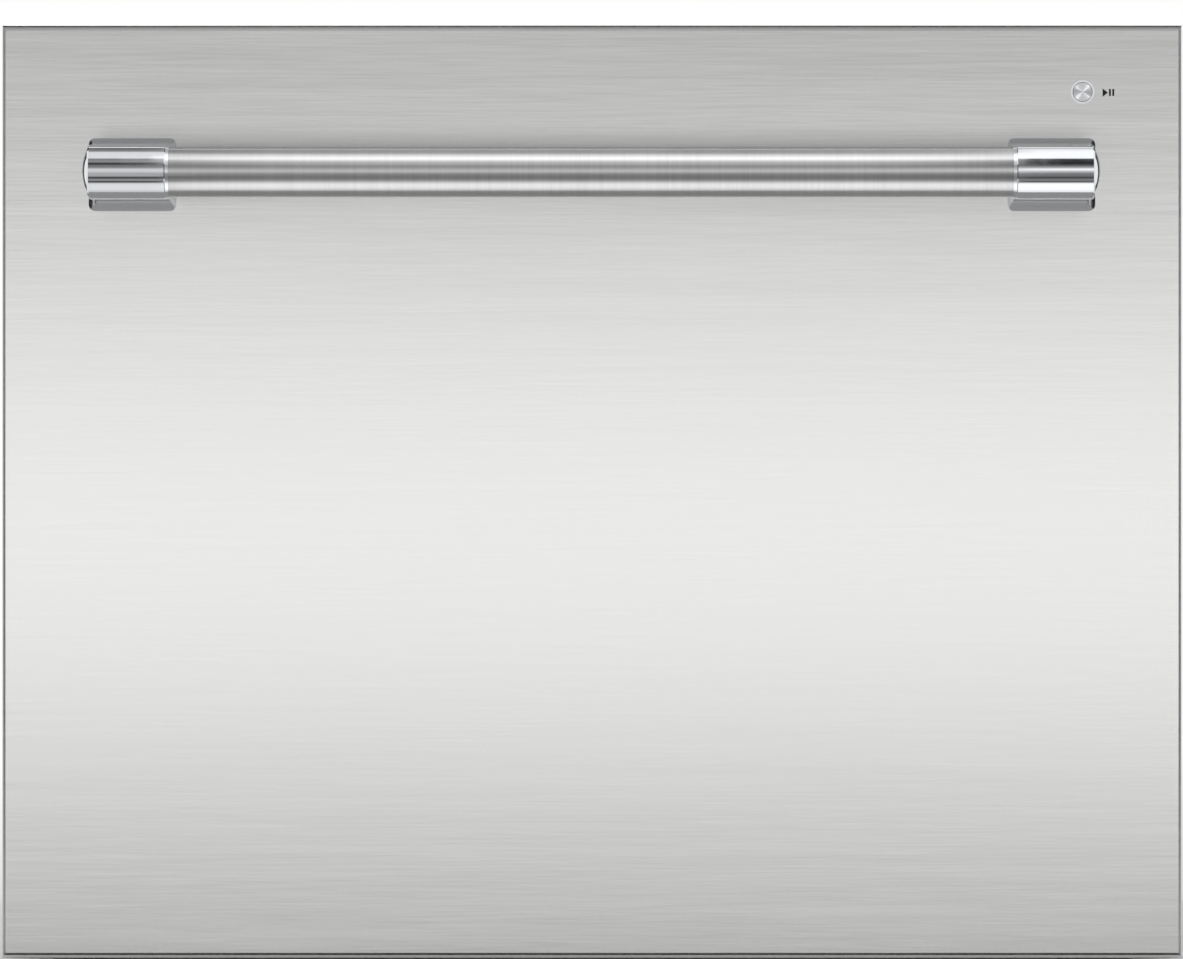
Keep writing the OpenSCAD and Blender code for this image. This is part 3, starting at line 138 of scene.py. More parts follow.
def put(tree, kind, settings=(), values=(), links=()):
    """Adds one node to a tree, with its settings, its socket values and the links that feed it."""
    node = tree.nodes.new(kind)
    for name, value in dict(settings).items():
        setattr(node, name, value)
    for name, value in dict(values).items():
        node.inputs[name].default_value = value
    for name, source in dict(links).items():
        tree.links.new(source, node.inputs[name])
    return node


print("white and mid grey are", linear("#FFFFFF")[0], round(linear("#808080")[0], 3), "in linear light")

# %% [markdown]
# ## The studio
#
# A steel front on a white ground is photographed in a white tent. White alone would make the chrome
# posts vanish, so the photographer hangs strips of black, grey and white card in front of the object,
# and the round bar and posts stretch their reflections into the bands that make them look like metal.
# The cards here do the same: only reflections see them, never the camera. They are bent round the bar
# and lie on the floor below it, and their bands are given as angles above the bar's height. There is
# one card for each post and one for the bar, because polished chrome wants harder bands than satin.
# The post cards reach far out to the sides, so that the flat panel mirrors nothing white beside them.
# The world is white wherever the camera or a reflection looks past the cards, and softer as light.

# %% World and floor
world = bpy.data.worlds.new("white_tent")
bpy.context.scene.world = world
world.use_nodes = True
tree = world.node_tree
tree.nodes.clear()
path = put(tree, "ShaderNodeLightPath")
seen = put(tree, "ShaderNodeMath", {"operation": "MAXIMUM"},
           links={0: path.outputs["Is Camera Ray"], 1: path.outputs["Is Glossy Ray"]})
seen = put(tree, "ShaderNodeMath", {"operation": "MAXIMUM"},
           links={0: seen.outputs[0], 1: path.outputs["Is Transmission Ray"]})
LIT, SEEN = 0.62, 1.0         # the tent's strength as light on things, and as what is seen
level = put(tree, "ShaderNodeMapRange", values={"To Min": LIT, "To Max": SEEN},
            links={"Value": seen.outputs[0]})
sky = put(tree, "ShaderNodeBackground", values={"Color": linear("#FFFFFF")},
          links={"Strength": level.outputs[0]})
put(tree, "ShaderNodeOutputWorld", links={"Surface": sky.outputs[0]})


def mesh_object(name, points, faces, smooth=False):
    """A mesh from points and faces, in the scene."""
    mesh = bpy.data.meshes.new(name)
    mesh.from_pydata([tuple(p) for p in points], [], faces)
    mesh.update()
    mesh.polygons.foreach_set("use_smooth", [smooth] * len(mesh.polygons))
    obj = bpy.data.objects.new(name, mesh)
    bpy.context.scene.collection.objects.link(obj)
    return obj


WIDE, NEAR_M, FAR_M = 12, 0.9, 2.4
floor = mesh_object("floor", [(-WIDE, -WIDE, 0), (WIDE, -WIDE, 0), (WIDE, WIDE, 0), (-WIDE, WIDE, 0)],
                    [(0, 1, 2, 3)])
paper = bpy.data.materials.new("white_paper_floor")
paper.use_nodes = True
tree = paper.node_tree
matt = tree.nodes["Principled BSDF"]
matt.inputs["Base Color"].default_value = linear("#F4F4F3")
matt.inputs["Roughness"].default_value = 0.9
matt.inputs["Specular IOR Level"].default_value = 0.1
place = put(tree, "ShaderNodeNewGeometry")
away = put(tree, "ShaderNodeVectorMath", {"operation": "LENGTH"}, links={0: place.outputs["Position"]})
fade = put(tree, "ShaderNodeMapRange", {"interpolation_type": "SMOOTHSTEP"},
           {"From Min": NEAR_M, "From Max": FAR_M}, {"Value": away.outputs["Value"]})
white = put(tree, "ShaderNodeEmission", values={"Color": linear("#FFFFFF"), "Strength": 1.0})
blend = put(tree, "ShaderNodeMixShader", links={0: fade.outputs[0], 1: matt.outputs[0], 2: white.outputs[0]})
# Seen from below the paper lets the eye through, so that the underside can be looked at too.
under = put(tree, "ShaderNodeBsdfTransparent")
sides = put(tree, "ShaderNodeMixShader",
            links={0: place.outputs["Backfacing"], 1: blend.outputs[0], 2: under.outputs[0]})
tree.links.new(sides.outputs[0], tree.nodes["Material Output"].inputs["Surface"])
floor.data.materials.append(paper)
print("the floor turns into plain white between", NEAR_M, "and", FAR_M, "m from the object")

# %% Cards that only reflections see
# Degrees above the bar's height, then the brightness of the left, middle and right card there.
BANDS = [(124, 0.20, 0.34, 0.40), (106, 0.20, 0.55, 1.10), (96, 0.35, 0.46, 1.20), (89, 0.88, 0.80, 1.25),
         (60, 0.88, 2.00, 1.25), (54, 0.22, 1.35, 0.05), (43, 0.34, 0.74, 0.03), (34, 0.01, 0.70, 0.01),
         (25, 0.20, 0.36, 0.14), (17, 0.28, 0.50, 0.44), (9, 0.80, 0.70, 1.30), (1, 0.74, 0.94, 0.64),
         (-8, 0.46, 0.38, 0.22), (-17, 0.50, 0.30, 0.21), (-26, 0.01, 0.24, 0.06), (-35, 0.40, 0.28, 0.28),
         (-44, 0.01, 0.56, 0.09), (-52, 0.84, 1.10, 1.25), (-62, 0.92, 1.45, 1.30), (-80, 0.90, 1.30, 1.25),
         (-96, 0.60, 0.70, 0.95)]
FAR, LOWEST, HIGHEST = 2.4, BANDS[-1][0], BANDS[0][0]
FLOOR_FROM, LIFT, STEPS = -8.5, 0.004, 24     # below this angle a card lies this far above the floor
SIDE_EDGE, BRIGHTEST = 2.4, 2.0
off_the_panel = bpy.data.collections.new("all_but_the_front_panel")
only_the_panel = bpy.data.collections.new("only_the_front_panel")
for flat_on in ("front_panel", "start_button"):
    only_the_panel.objects.link(nodes[flat_on])
    off_the_panel.objects.link(nodes[flat_on])
for linked in off_the_panel.collection_objects:
    linked.light_linking.link_state = "EXCLUDE"


def card_point(angle):
    """Where a card is at an angle from the bar: bent round it, or lying on the floor when it is low."""
    a, drop = math.radians(angle), BAR.z - LIFT
    if angle > FLOOR_FROM:
        return BAR.y - FAR * math.cos(a), BAR.z + FAR * math.sin(a), FAR
    return BAR.y - drop / math.tan(-a), LIFT, drop / math.sin(-a)


def glowing(name, strength):
    """A material that only shines, with its node tree and its emission node."""
    material = bpy.data.materials.new(name)
    material.use_nodes = True
    tree = material.node_tree
    tree.nodes.clear()
    glow = put(tree, "ShaderNodeEmission", values={"Color": linear("#FFFFFF"), "Strength": strength})
    put(tree, "ShaderNodeOutputMaterial", links={"Surface": glow.outputs[0]})
    return material, tree, glow


def only_in_reflections(obj, material):
    """Gives a piece of the studio its material and hides it from all but reflections."""
    obj.data.materials.append(material)
    obj.visible_camera = obj.visible_diffuse = obj.visible_shadow = obj.visible_transmission = False


def card(name, left_edge, right_edge, column):
    """A card between two X edges. An edge at a post is the X on the bar whose reflection meets it."""
    points, faces, shares = [], [], []
    for high, low in ((HIGHEST, FLOOR_FROM + 0.1), (FLOOR_FROM - 0.1, LOWEST)):
        angles = [high + (low - high) * i / STEPS for i in range(STEPS + 1)]
        for i, angle in enumerate(angles):
            y, z, far = card_point(angle)
            for edge in (left_edge, right_edge):
                spread = 0 if abs(edge) == SIDE_EDGE else (edge - eye.x) / DISTANCE * far
                points.append((edge + spread, y, z))
                shares.append((angle - LOWEST) / (HIGHEST - LOWEST))
            if i:
                n = len(points)
                faces.append((n - 4, n - 3, n - 1, n - 2))
    obj = mesh_object(name, points, faces)
    obj.data.attributes.new("angle", "FLOAT", "POINT").data.foreach_set("value", shares)
    paint, tree, glow = glowing(name, BRIGHTEST)
    where = put(tree, "ShaderNodeAttribute", {"attribute_name": "angle"})
    bands = put(tree, "ShaderNodeValToRGB", links={"Fac": where.outputs["Fac"]})
    ramp = bands.color_ramp
    for i, band in enumerate(reversed(BANDS)):
        share = (band[0] - LOWEST) / (HIGHEST - LOWEST)
        stop = ramp.elements[i] if i < 2 else ramp.elements.new(share)
        stop.position = share
    for stop, band in zip(ramp.elements, reversed(BANDS)):
        stop.color = (band[column] / BRIGHTEST,) * 3 + (1,)
    tree.links.new(bands.outputs["Color"], glow.inputs["Color"])
    obj.light_linking.receiver_collection = off_the_panel
    only_in_reflections(obj, paint)


SEAT = 0.0165                 # how far the bar reaches into each post
POST_X = bar_high.x - SEAT
card("card_left_post", -SIDE_EDGE, -POST_X, 1)
card("card_bar", -POST_X, POST_X, 2)
card("card_right_post", POST_X, SIDE_EDGE, 3)
for name, x in (("blind_left", -1.2), ("blind_right", 1.2)):
    near, far, low, high = FACE_Y - 0.02, FACE_Y - 0.62, 0.02, 1.1
    blind = mesh_object(name, [(x, near, low), (x, far, low), (x, far, high), (x, near, high)],
                        [(0, 1, 2, 3)])
    only_in_reflections(blind, glowing(name, 0.03)[0])
print("cards: 3, black blinds: 2, bands on each card:", len(BANDS))

# %% Lamps for everything but the panel
def lamp(name, place, target, size, watts):
    """A soft rectangular lamp at a place, turned to a target. Size is (width, height) in metres."""
    light = bpy.data.lights.new(name, "AREA")
    light.shape = "RECTANGLE"
    light.size, light.size_y = size
    light.energy = watts
    obj = bpy.data.objects.new(name, light)
    obj.visible_camera = False
    obj.location = place
    obj.rotation_euler = (Vector(target) - Vector(place)).to_track_quat("-Z", "Y").to_euler()
    bpy.context.scene.collection.objects.link(obj)
    return obj


for side_lamp in (lamp("key_right", (1.8, FACE_Y - 1.5, 1.9), (0, 0, 0.25), (2.3, 2.3), 22),
                  lamp("fill_left", (-1.9, FACE_Y - 1.2, 1.5), (0, 0, 0.25), (2.0, 2.0), 13)):
    side_lamp.light_linking.receiver_collection = off_the_panel
lamp("top", (0, 0.2, 3.3), (0, 0, 0.3), (3.4, 3.4), 15)
lamp("rear", (-1.2, 2.2, 1.6), (0, 0.2, 0.25), (1.8, 1.8), 12)
print("lamps: 4")

# %% [markdown]
# ## Light for the sheet of steel
#
# The front of such a machine is judged by its big sheet of steel, so that gets lamps of its own, which
# are masked off everything else by light linking. A long, low strip puts the soft bright band across
# the panel. A broad weak one lights the rest of the sheet, one overhead lights its bent top edge, and
# one on the floor stands for the pale floor that the sheet mirrors when it is seen from above. The
# button's turned cap gets two small lamps more, above it on the left and right.

# %% Lamps for the panel and the button's cap
PANEL_LAMPS = [("panel_strip", (0, FACE_Y - 1.15, 0.214), (0, FACE_Y, 0.214), (1.8, 0.32), 2.2),
               ("panel_wash", (0, FACE_Y - 1.2, 1.05), (0, FACE_Y, 1.05), (1.8, 2.10), 7.4),
               ("panel_overhead", (0, FACE_Y - 0.85, 2.45), (0, FACE_Y - 0.85, 0), (1.8, 1.40), 4.0),
               ("panel_floor", (0, FACE_Y - 1.33, 0.006), (0, FACE_Y - 1.33, 2), (1.8, 2.64), 8.0)]
for name, place, target, size, watts in PANEL_LAMPS:
    light = lamp(name, place, target, size, watts)
    light.light_linking.receiver_collection = only_the_panel

only_the_cap = bpy.data.collections.new("only_the_button_cap")
only_the_cap.objects.link(nodes["start_button"])
button_low, button_high = ends("start_button")
CAP = (button_low + button_high) / 2
for name, x in (("cap_left", -0.9), ("cap_right", 0.9)):
    light = lamp(name, (CAP.x + x, FACE_Y - 1.4, CAP.z + 0.9), CAP, (0.35, 0.35), 8)
    light.light_linking.receiver_collection = only_the_cap
print("lamps of their own: panel and cap", len(PANEL_LAMPS), "- cap alone 2")

# %% [markdown]
# ## Patterns measured in millimetres
#
# Every finish on this machine has a grain: brushing, rolling, moulding grit, zinc crystals. A pattern
# is only believable at its real size, so the helper below takes the size of one blotch in
# millimetres along X, Y and Z. The CAD meshes have their place in their points, so their Object
# coordinates are the model's own metres, and one pattern runs unbroken over neighbouring pieces.

# %% Pattern helper
def pattern(tree, kind, size_mm, settings=(), values=()):
    """A texture whose blotches measure size_mm along X, Y and Z."""
    place = put(tree, "ShaderNodeTexCoord")
    scale = [1 / (s * MM) for s in size_mm]
    moved = put(tree, "ShaderNodeMapping", values={"Scale": scale}, links={"Vector": place.outputs["Object"]})
    return put(tree, kind, settings, {"Scale": 1.0, **dict(values)}, {"Vector": moved.outputs[0]})


def finish(name, colour, **sockets):
    """A new material with a Principled shader. Sockets are set by name, with _ for a space."""
    material = bpy.data.materials.new(name)
    material.use_nodes = True
    shader = material.node_tree.nodes["Principled BSDF"]
    shader.inputs["Base Color"].default_value = linear(colour)
    for socket, value in sockets.items():
        shader.inputs[socket.replace("_", " ")].default_value = value
    return material, material.node_tree, shader


def vary(tree, shader, socket, source, low, high, from_low=0.3, from_high=0.7):
    """Lets a pattern move a socket between two values."""
    between = put(tree, "ShaderNodeMapRange", values={"From Min": from_low, "From Max": from_high,
                  "To Min": low, "To Max": high}, links={"Value": source})
    tree.links.new(between.outputs[0], shader.inputs[socket])


def tint(tree, shader, source, dark, light, from_low=0.3, from_high=0.7):
    """Lets a pattern move the base colour between two hex colours."""
    share = put(tree, "ShaderNodeMapRange", values={"From Min": from_low, "From Max": from_high},
                links={"Value": source})
    mixed = put(tree, "ShaderNodeMix", {"data_type": "RGBA"}, {6: linear(dark), 7: linear(light)},
                {0: share.outputs[0]})
    tree.links.new(mixed.outputs[2], shader.inputs["Base Color"])


def relief(tree, shader, source, depth_mm, strength=1.0):
    """Lets a pattern raise the surface by depth_mm."""
    bump = put(tree, "ShaderNodeBump", values={"Strength": strength, "Distance": depth_mm * MM},
               links={"Height": source})
    tree.links.new(bump.outputs[0], shader.inputs["Normal"])


print("pattern helpers are ready")

# %% [markdown]
# ## Brushed stainless steel
#
# The front panel is stainless steel with a number 4 finish: a belt of fine grit is drawn across the
# sheet, always the same way, and leaves scratches along X. Each scratch is a tiny gutter, so light
# spreads up and down across it but hardly sideways. That is what anisotropy means, and it is why the
# posts' reflections are soft above and below but keep straight sides. The steel is slightly warm and
# lighter than it seems: what it shows is mostly the room. A real scratch is 0.05 mm wide, too fine to
# show here, so the streaks are drawn about ten times coarser and very faint.

# %% Number 4 brushed stainless
GUTTER_MM = 0.002             # how deep a scratch is


def brushed(name, streak_mm, cloud_mm, roughness, turn, colours, tangent_axis="Z", amount=0.7):
    """Brushed steel. Streak and cloud are blotch sizes in millimetres, and turn is 0.25 for across."""
    material, tree, shader = finish(name, colours[1], Metallic=1.0, Anisotropic=amount,
                                    Anisotropic_Rotation=turn)
    streak = pattern(tree, "ShaderNodeTexNoise", streak_mm, values={"Detail": 3.0, "Roughness": 0.65})
    cloud = pattern(tree, "ShaderNodeTexNoise", cloud_mm, values={"Detail": 1.0})
    both = put(tree, "ShaderNodeMix", {"data_type": "FLOAT"}, {0: 0.35},
               {2: streak.outputs["Fac"], 3: cloud.outputs["Fac"]})
    tint(tree, shader, both.outputs[0], *colours)
    vary(tree, shader, "Roughness", both.outputs[0], *roughness)
    relief(tree, shader, streak.outputs["Fac"], GUTTER_MM, 0.35)
    along = put(tree, "ShaderNodeTangent", {"direction_type": "RADIAL", "axis": tangent_axis})
    tree.links.new(along.outputs[0], shader.inputs["Tangent"])
    return material


number_4 = brushed("brushed_stainless_number_4", (45, 45, 0.55), (260, 260, 9), (0.21, 0.26), 0.25,
                   ("#BFBFBE", "#CCCCCB"))
bar_satin = brushed("satin_stainless_tube", (0.7, 60, 60), (14, 400, 400), (0.15, 0.20), 0.0,
                    ("#C3C3C3", "#D0D0D0"), tangent_axis="X", amount=0.45)
print("brushed steel: panel brushed across, bar turned and satin-polished")

# %% [markdown]
# ## Chrome plate
#
# The posts and the button's ring are zinc castings, copper and nickel plated and flashed with chrome.
# Chrome is a mirror with a slightly blue cast. The casting below it is never quite true, so the mirror
# waves a little: a very shallow noise, a centimetre across, does that.

# %% Chrome plate
chrome, tree, shader = finish("chrome_plate", "#E3E5E8", Metallic=1.0, Roughness=0.055)
wave = pattern(tree, "ShaderNodeTexNoise", (11, 11, 11), values={"Detail": 1.0})
relief(tree, shader, wave.outputs["Fac"], 0.02, 0.2)
smear = pattern(tree, "ShaderNodeTexNoise", (5, 5, 5), values={"Detail": 4.0})
vary(tree, shader, "Roughness", smear.outputs["Fac"], 0.045, 0.075)

# %% [markdown]
# ## The turned cap of the start button
#
# The cap's face is cut on a lathe before it is plated, so its scratches are rings. Rings spread each
# lamp's light into a narrow double fan through the middle. With one lamp at the upper right and one at
# the upper left, the two fans cross, and that is the X in the photograph.

# %% Turned chrome
BUTTON = Vector((CAP.x, button_low.y, CAP.z))
RING_MM = 0.25
turned, tree, shader = finish("turned_chrome_cap", "#C9CBCD", Metallic=1.0, Roughness=0.33, Anisotropic=0.95,
                              Anisotropic_Rotation=0.25)
place = put(tree, "ShaderNodeTexCoord")
from_axis = put(tree, "ShaderNodeVectorMath", {"operation": "SUBTRACT"}, {1: (BUTTON.x, BUTTON.y, BUTTON.z)},
                {0: place.outputs["Object"]})
flat = put(tree, "ShaderNodeVectorMath", {"operation": "MULTIPLY"}, {1: (1, 0, 1)}, {0: from_axis.outputs[0]})
radius = put(tree, "ShaderNodeVectorMath", {"operation": "LENGTH"}, links={0: flat.outputs[0]})
rings = put(tree, "ShaderNodeTexNoise", {"noise_dimensions": "1D"},
            {"Scale": 1 / (RING_MM * MM), "Detail": 2.0}, {"W": radius.outputs["Value"]})
relief(tree, shader, rings.outputs["Fac"], 0.01, 0.4)
tint(tree, shader, rings.outputs["Fac"], "#BABCBE", "#D8DADC")
cross = put(tree, "ShaderNodeVectorMath", {"operation": "CROSS_PRODUCT"}, {1: (0, 1, 0)},
            {0: from_axis.outputs[0]})
tree.links.new(cross.outputs[0], shader.inputs["Tangent"])
print("the button's axis is at", [round(c, 4) for c in BUTTON])

# %% [markdown]
# ## Zinc-coated sheet
#
# The chassis is folded from hot-dip galvanised sheet. As the zinc sets it grows crystals, called
# spangle, a centimetre or so across, each tilted a little and so a little lighter or darker than the
# next. A Voronoi pattern is exactly that: one flat value for each cell. The sheet is dull, greyer and
# bluer than steel. The rails and screws are electroplated instead: finer, brighter, with no crystals.

# %% Galvanised sheet, plated rails and screws
zinc_sheet, tree, shader = finish("hot_dip_galvanised_sheet", "#A5ABB0", Metallic=1.0, Roughness=0.42)
crystals = pattern(tree, "ShaderNodeTexVoronoi", (11, 11, 11), {"feature": "F1"}, {"Randomness": 1.0})
shade = put(tree, "ShaderNodeSeparateColor", links={"Color": crystals.outputs["Color"]})
tint(tree, shader, shade.outputs[0], "#9DA3A8", "#ADB2B7", 0.0, 1.0)
vary(tree, shader, "Roughness", shade.outputs[1], 0.40, 0.48, 0.0, 1.0)
dross = pattern(tree, "ShaderNodeTexNoise", (2.5, 2.5, 2.5), values={"Detail": 3.0})
relief(tree, shader, dross.outputs["Fac"], 0.05, 0.25)

plated_rail, tree, shader = finish("zinc_plated_rolled_steel", "#B9BCC0", Metallic=1.0, Roughness=0.3)
rolled = pattern(tree, "ShaderNodeTexNoise", (1.2, 80, 1.2), values={"Detail": 3.0})
tint(tree, shader, rolled.outputs["Fac"], "#AEB2B6", "#C4C7CA")
vary(tree, shader, "Roughness", rolled.outputs["Fac"], 0.24, 0.36)
relief(tree, shader, rolled.outputs["Fac"], 0.02, 0.3)

plated_screw, tree, shader = finish("zinc_plated_fastener", "#ACAFB3", Metallic=1.0, Roughness=0.34)
soil = pattern(tree, "ShaderNodeTexNoise", (3, 3, 3), values={"Detail": 4.0})
tint(tree, shader, soil.outputs["Fac"], "#9FA3A7", "#B8BBBE")
vary(tree, shader, "Roughness", soil.outputs["Fac"], 0.28, 0.42)
print("zinc: three finishes")

# %% [markdown]
# ## Moulded plastics
#
# The tub is light grey polypropylene, waxy and slightly see-through, with a spark-eroded mould grain
# of about half a millimetre. The working parts are the same family in white, mid grey and charcoal.
# Polypropylene bends light by 1.49 and never gets glossier than satin. Its colour isn't quite even
# where the melt flowed, which a slow, faint cloud shows. The touch strip is acrylic, and glossy.

# %% Plastics
def moulded(name, dark, light, roughness, grain_mm=0.55, grain_depth=0.02, wax=0.0, index=1.49):
    """A moulded plastic with mould grain, a slow cloud of colour, and some wax-like depth."""
    material, tree, shader = finish(name, light, IOR=index, Subsurface_Weight=wax, Subsurface_Scale=1.5 * MM)
    cloud = pattern(tree, "ShaderNodeTexNoise", (70, 70, 70), values={"Detail": 2.0})
    tint(tree, shader, cloud.outputs["Fac"], dark, light)
    grain = pattern(tree, "ShaderNodeTexNoise", (grain_mm,) * 3, values={"Detail": 1.0})
    vary(tree, shader, "Roughness", grain.outputs["Fac"], roughness - 0.04, roughness + 0.05)
    relief(tree, shader, grain.outputs["Fac"], grain_depth, 0.5)
    return material


tub_pp = moulded("light_grey_polypropylene", "#C6C8CA", "#CED0D2", 0.42, wax=0.06)
white_pp = moulded("white_polypropylene", "#E4E4E2", "#E9E9E7", 0.36, wax=0.06)
grey_pp = moulded("mid_grey_polypropylene", "#8C9093", "#94989B", 0.44)
dark_pa = moulded("charcoal_glass_filled_polyamide", "#242427", "#2C2C2F", 0.5, grain_mm=0.4, index=1.53)
foot_pa = moulded("charcoal_polyamide_foot", "#2A2A2C", "#323234", 0.55, grain_mm=0.8, grain_depth=0.04,
                  index=1.53)
gloss, tree, shader = finish("black_acrylic_touch_strip", "#08080A", Roughness=0.07, IOR=1.49)
wipe = pattern(tree, "ShaderNodeTexNoise", (22, 22, 5), values={"Detail": 5.0})
vary(tree, shader, "Roughness", wipe.outputs["Fac"], 0.05, 0.13)
print("plastics: 6")

# %% [markdown]
# ## Coated wire, rubber, felt and circuit board
#
# The rack's wires are dipped in nylon powder and baked: a smooth, slightly lumpy skin, satin, IOR 1.53.
# The lid's seal is sponge rubber, full of closed pores. The hoses are ribbed rubber with a dusty bloom.
# The door's felt is pressed from torn fibres of many colours. The boards are green lacquer on glass
# cloth, with copper tracks below it that show as a lighter pattern.

# %% Coating, rubbers, felt, board
wire_pa = moulded("nylon_dipped_wire", "#B4B8BC", "#BEC2C6", 0.33, grain_mm=2.2, grain_depth=0.03, index=1.53)

sponge, tree, shader = finish("sponge_rubber_seal", "#1C1C1E", Roughness=0.75, IOR=1.52)
pores = pattern(tree, "ShaderNodeTexVoronoi", (0.9, 0.9, 0.9))
tint(tree, shader, pores.outputs["Distance"], "#131315", "#242426", 0.1, 0.7)
relief(tree, shader, pores.outputs["Distance"], 0.15, 0.6)

hose, tree, shader = finish("ribbed_rubber_hose", "#3A3B3E", Roughness=0.6, IOR=1.52)
bloom = pattern(tree, "ShaderNodeTexNoise", (9, 9, 9), values={"Detail": 4.0})
tint(tree, shader, bloom.outputs["Fac"], "#333437", "#47484B")
vary(tree, shader, "Roughness", bloom.outputs["Fac"], 0.52, 0.7)

felt, tree, shader = finish("pressed_fibre_felt", "#8E897F", Roughness=0.95, Sheen_Weight=0.3,
                            Sheen_Roughness=0.5)
fibre = pattern(tree, "ShaderNodeTexNoise", (1.2, 1.2, 1.2),
                values={"Detail": 6.0, "Roughness": 0.7, "Distortion": 1.5})
tint(tree, shader, fibre.outputs["Fac"], "#6E6A64", "#A8A297")
relief(tree, shader, fibre.outputs["Fac"], 0.5, 0.8)

board_green, tree, shader = finish("green_circuit_board", "#1F5A3A", Roughness=0.32, IOR=1.55)
tracks = pattern(tree, "ShaderNodeTexBrick", (5, 5, 5), {"offset": 0.37, "squash": 0.6},
                 {"Color1": linear("#1B5236"), "Color2": linear("#1F5A3A"), "Mortar": linear("#2F7550"),
                  "Mortar Size": 0.06})
tree.links.new(tracks.outputs["Color"], shader.inputs["Base Color"])
print("materials in all:", len(bpy.data.materials))

# %% [markdown]
# ## Giving each CAD piece its finish
#
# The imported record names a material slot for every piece. One table turns slots into finishes, and
# the bar gets its own because it is polished round, not along. A narrow bevel catches the light on
# folded sheet and moulded edges, which on real pieces are never perfectly sharp.

# %% Finishes on the CAD pieces
SLOT_FINISH = {
    "brushed_stainless": number_4, "polished_chrome": chrome, "brushed_chrome_button": turned,
    "galvanised_steel": zinc_sheet, "rail_steel": plated_rail, "fastener_steel": plated_screw,
    "tub_plastic": tub_pp, "white_plastic": white_pp, "trim_plastic": grey_pp, "dark_plastic": dark_pa,
    "gloss_black": gloss, "insulation": felt, "seal_rubber": sponge, "hose_rubber": hose,
    "wire_coating": wire_pa, "foot_rubber": foot_pa, "circuit": board_green,
}
BEVEL_MM = {"door_liner": 1.0, "control_strip": 0.8, "dispenser_body": 0.8, "lid": 0.8, "fan_housing": 0.6,
            "cable_gland": 0.6, "inlet_valve": 0.6, "drain_pump": 0.6, "wash_motor": 0.8, "side_left": 0.4,
            "side_right": 0.4, "top_cover": 0.4, "rear_panel": 0.4, "base_tray": 0.4, "runner_brackets": 0.4,
            "cabinet_brackets": 0.4, "lid_actuators": 0.6}
slot_of = {part["node"]: part["material_slot"] for part in frame["record"]["subparts"]}
for name, obj in nodes.items():
    chosen = bar_satin if name == "handle_bar" else SLOT_FINISH[slot_of[name]]
    for material_slot in obj.material_slots:
        material_slot.material = chosen
    if name in BEVEL_MM:
        edge = obj.modifiers.new("edge", "BEVEL")
        edge.width = BEVEL_MM[name] * MM
        edge.segments = 2
        edge.limit_method = "ANGLE"
        edge.angle_limit = math.radians(40)
        edge.harden_normals = True
print("finished", len(nodes), "CAD pieces,", len(BEVEL_MM), "with bevelled edges")

# %% [markdown]
# ## The mark beside the start button
#
# The common sign for start and pause, a triangle and two bars, is laser-marked on the steel right of
# the button, dark grey and about 4 mm tall. Laser marking has no thickness to speak of. A separate film
# 0.03 mm proud of the sheet shows the same, and keeps a clean edge at any distance, where a pattern in
# the steel's own material would need a very fine texture.

# %% Start and pause mark
laser, tree, shader = finish("laser_marked_oxide", "#1E1E20", Metallic=0.6, Roughness=0.42)
speck = pattern(tree, "ShaderNodeTexNoise", (0.25, 0.25, 0.25), values={"Detail": 3.0})
tint(tree, shader, speck.outputs["Fac"], "#18181A", "#28282A")
vary(tree, shader, "Roughness", speck.outputs["Fac"], 0.36, 0.5)

# Corners in millimetres right of the button's middle and above it.
shapes = [[(10.2, -2.4), (12.9, -0.3), (10.2, 1.8)], [(13.4, -2.0), (14.4, -2.0), (14.4, 1.5), (13.4, 1.5)],
          [(15.1, -2.0), (16.1, -2.0), (16.1, 1.5), (15.1, 1.5)]]
points, faces = [], []
for shape in shapes:
    faces.append(tuple(range(len(points), len(points) + len(shape))))
    points += [(BUTTON.x + u * MM, FACE_Y - 0.03 * MM, BUTTON.z + v * MM) for u, v in shape]
start_mark = mesh_object("start_pause_mark", points, faces)
start_mark.data.materials.append(laser)
film = start_mark.modifiers.new("film", "SOLIDIFY")
film.thickness, film.offset = 0.02 * MM, 0.0
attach(start_mark, "drawer")
print("mark beside the button:", len(shapes), "shapes")

# %% [markdown]
# ## Round wire
#
# The rack is bent and welded from round wire, then dipped in nylon powder. CAD draws each wire as a
# straight eight-sided rod with square corners. Here one helper draws any wire round: it softens the
# corners of a path into bends, carries a ring along it, and closes each free end with a dome, as the
# coating does. A curve object with a bevel would be shorter, but one mesh for a whole rack is lighter
# and its domed ends come for free. Points are in millimetres: across, behind the face, and up.

# %% Bent wires as one mesh
def bends(points, bend, closed=False, steps=4):
    """A path with each corner softened into a bend that starts that many millimetres before it."""
    points = [Vector(p) for p in points]
    path = []
    for i, corner in enumerate(points):
        if not closed and i in (0, len(points) - 1):
            path.append(corner)
            continue
        before, after = points[i - 1] - corner, points[(i + 1) % len(points)] - corner
        start = corner + before.normalized() * min(bend, before.length / 2)
        end = corner + after.normalized() * min(bend, after.length / 2)
        for share in (k / steps for k in range(steps + 1)):
            path.append(start.lerp(corner, share).lerp(corner.lerp(end, share), share))
    return path


def ring_sizes(path, radius, closed, dome=True):
    """The path again with a radius at each point, and extra points where a free end is domed."""
    if closed or not dome:
        return [(p, radius) for p in path]
    angles = [math.radians(a) for a in (88, 60, 30)]
    first, last = (path[1] - path[0]).normalized(), (path[-2] - path[-1]).normalized()
    head = [(path[0] + first * radius * (1 - math.sin(a)), radius * math.cos(a)) for a in angles]
    tail = [(path[-1] + last * radius * (1 - math.sin(a)), radius * math.cos(a)) for a in reversed(angles)]
    return head + [(path[0] + first * radius, radius)] + [(p, radius) for p in path[1:-1]] \
        + [(path[-1] + last * radius, radius)] + tail


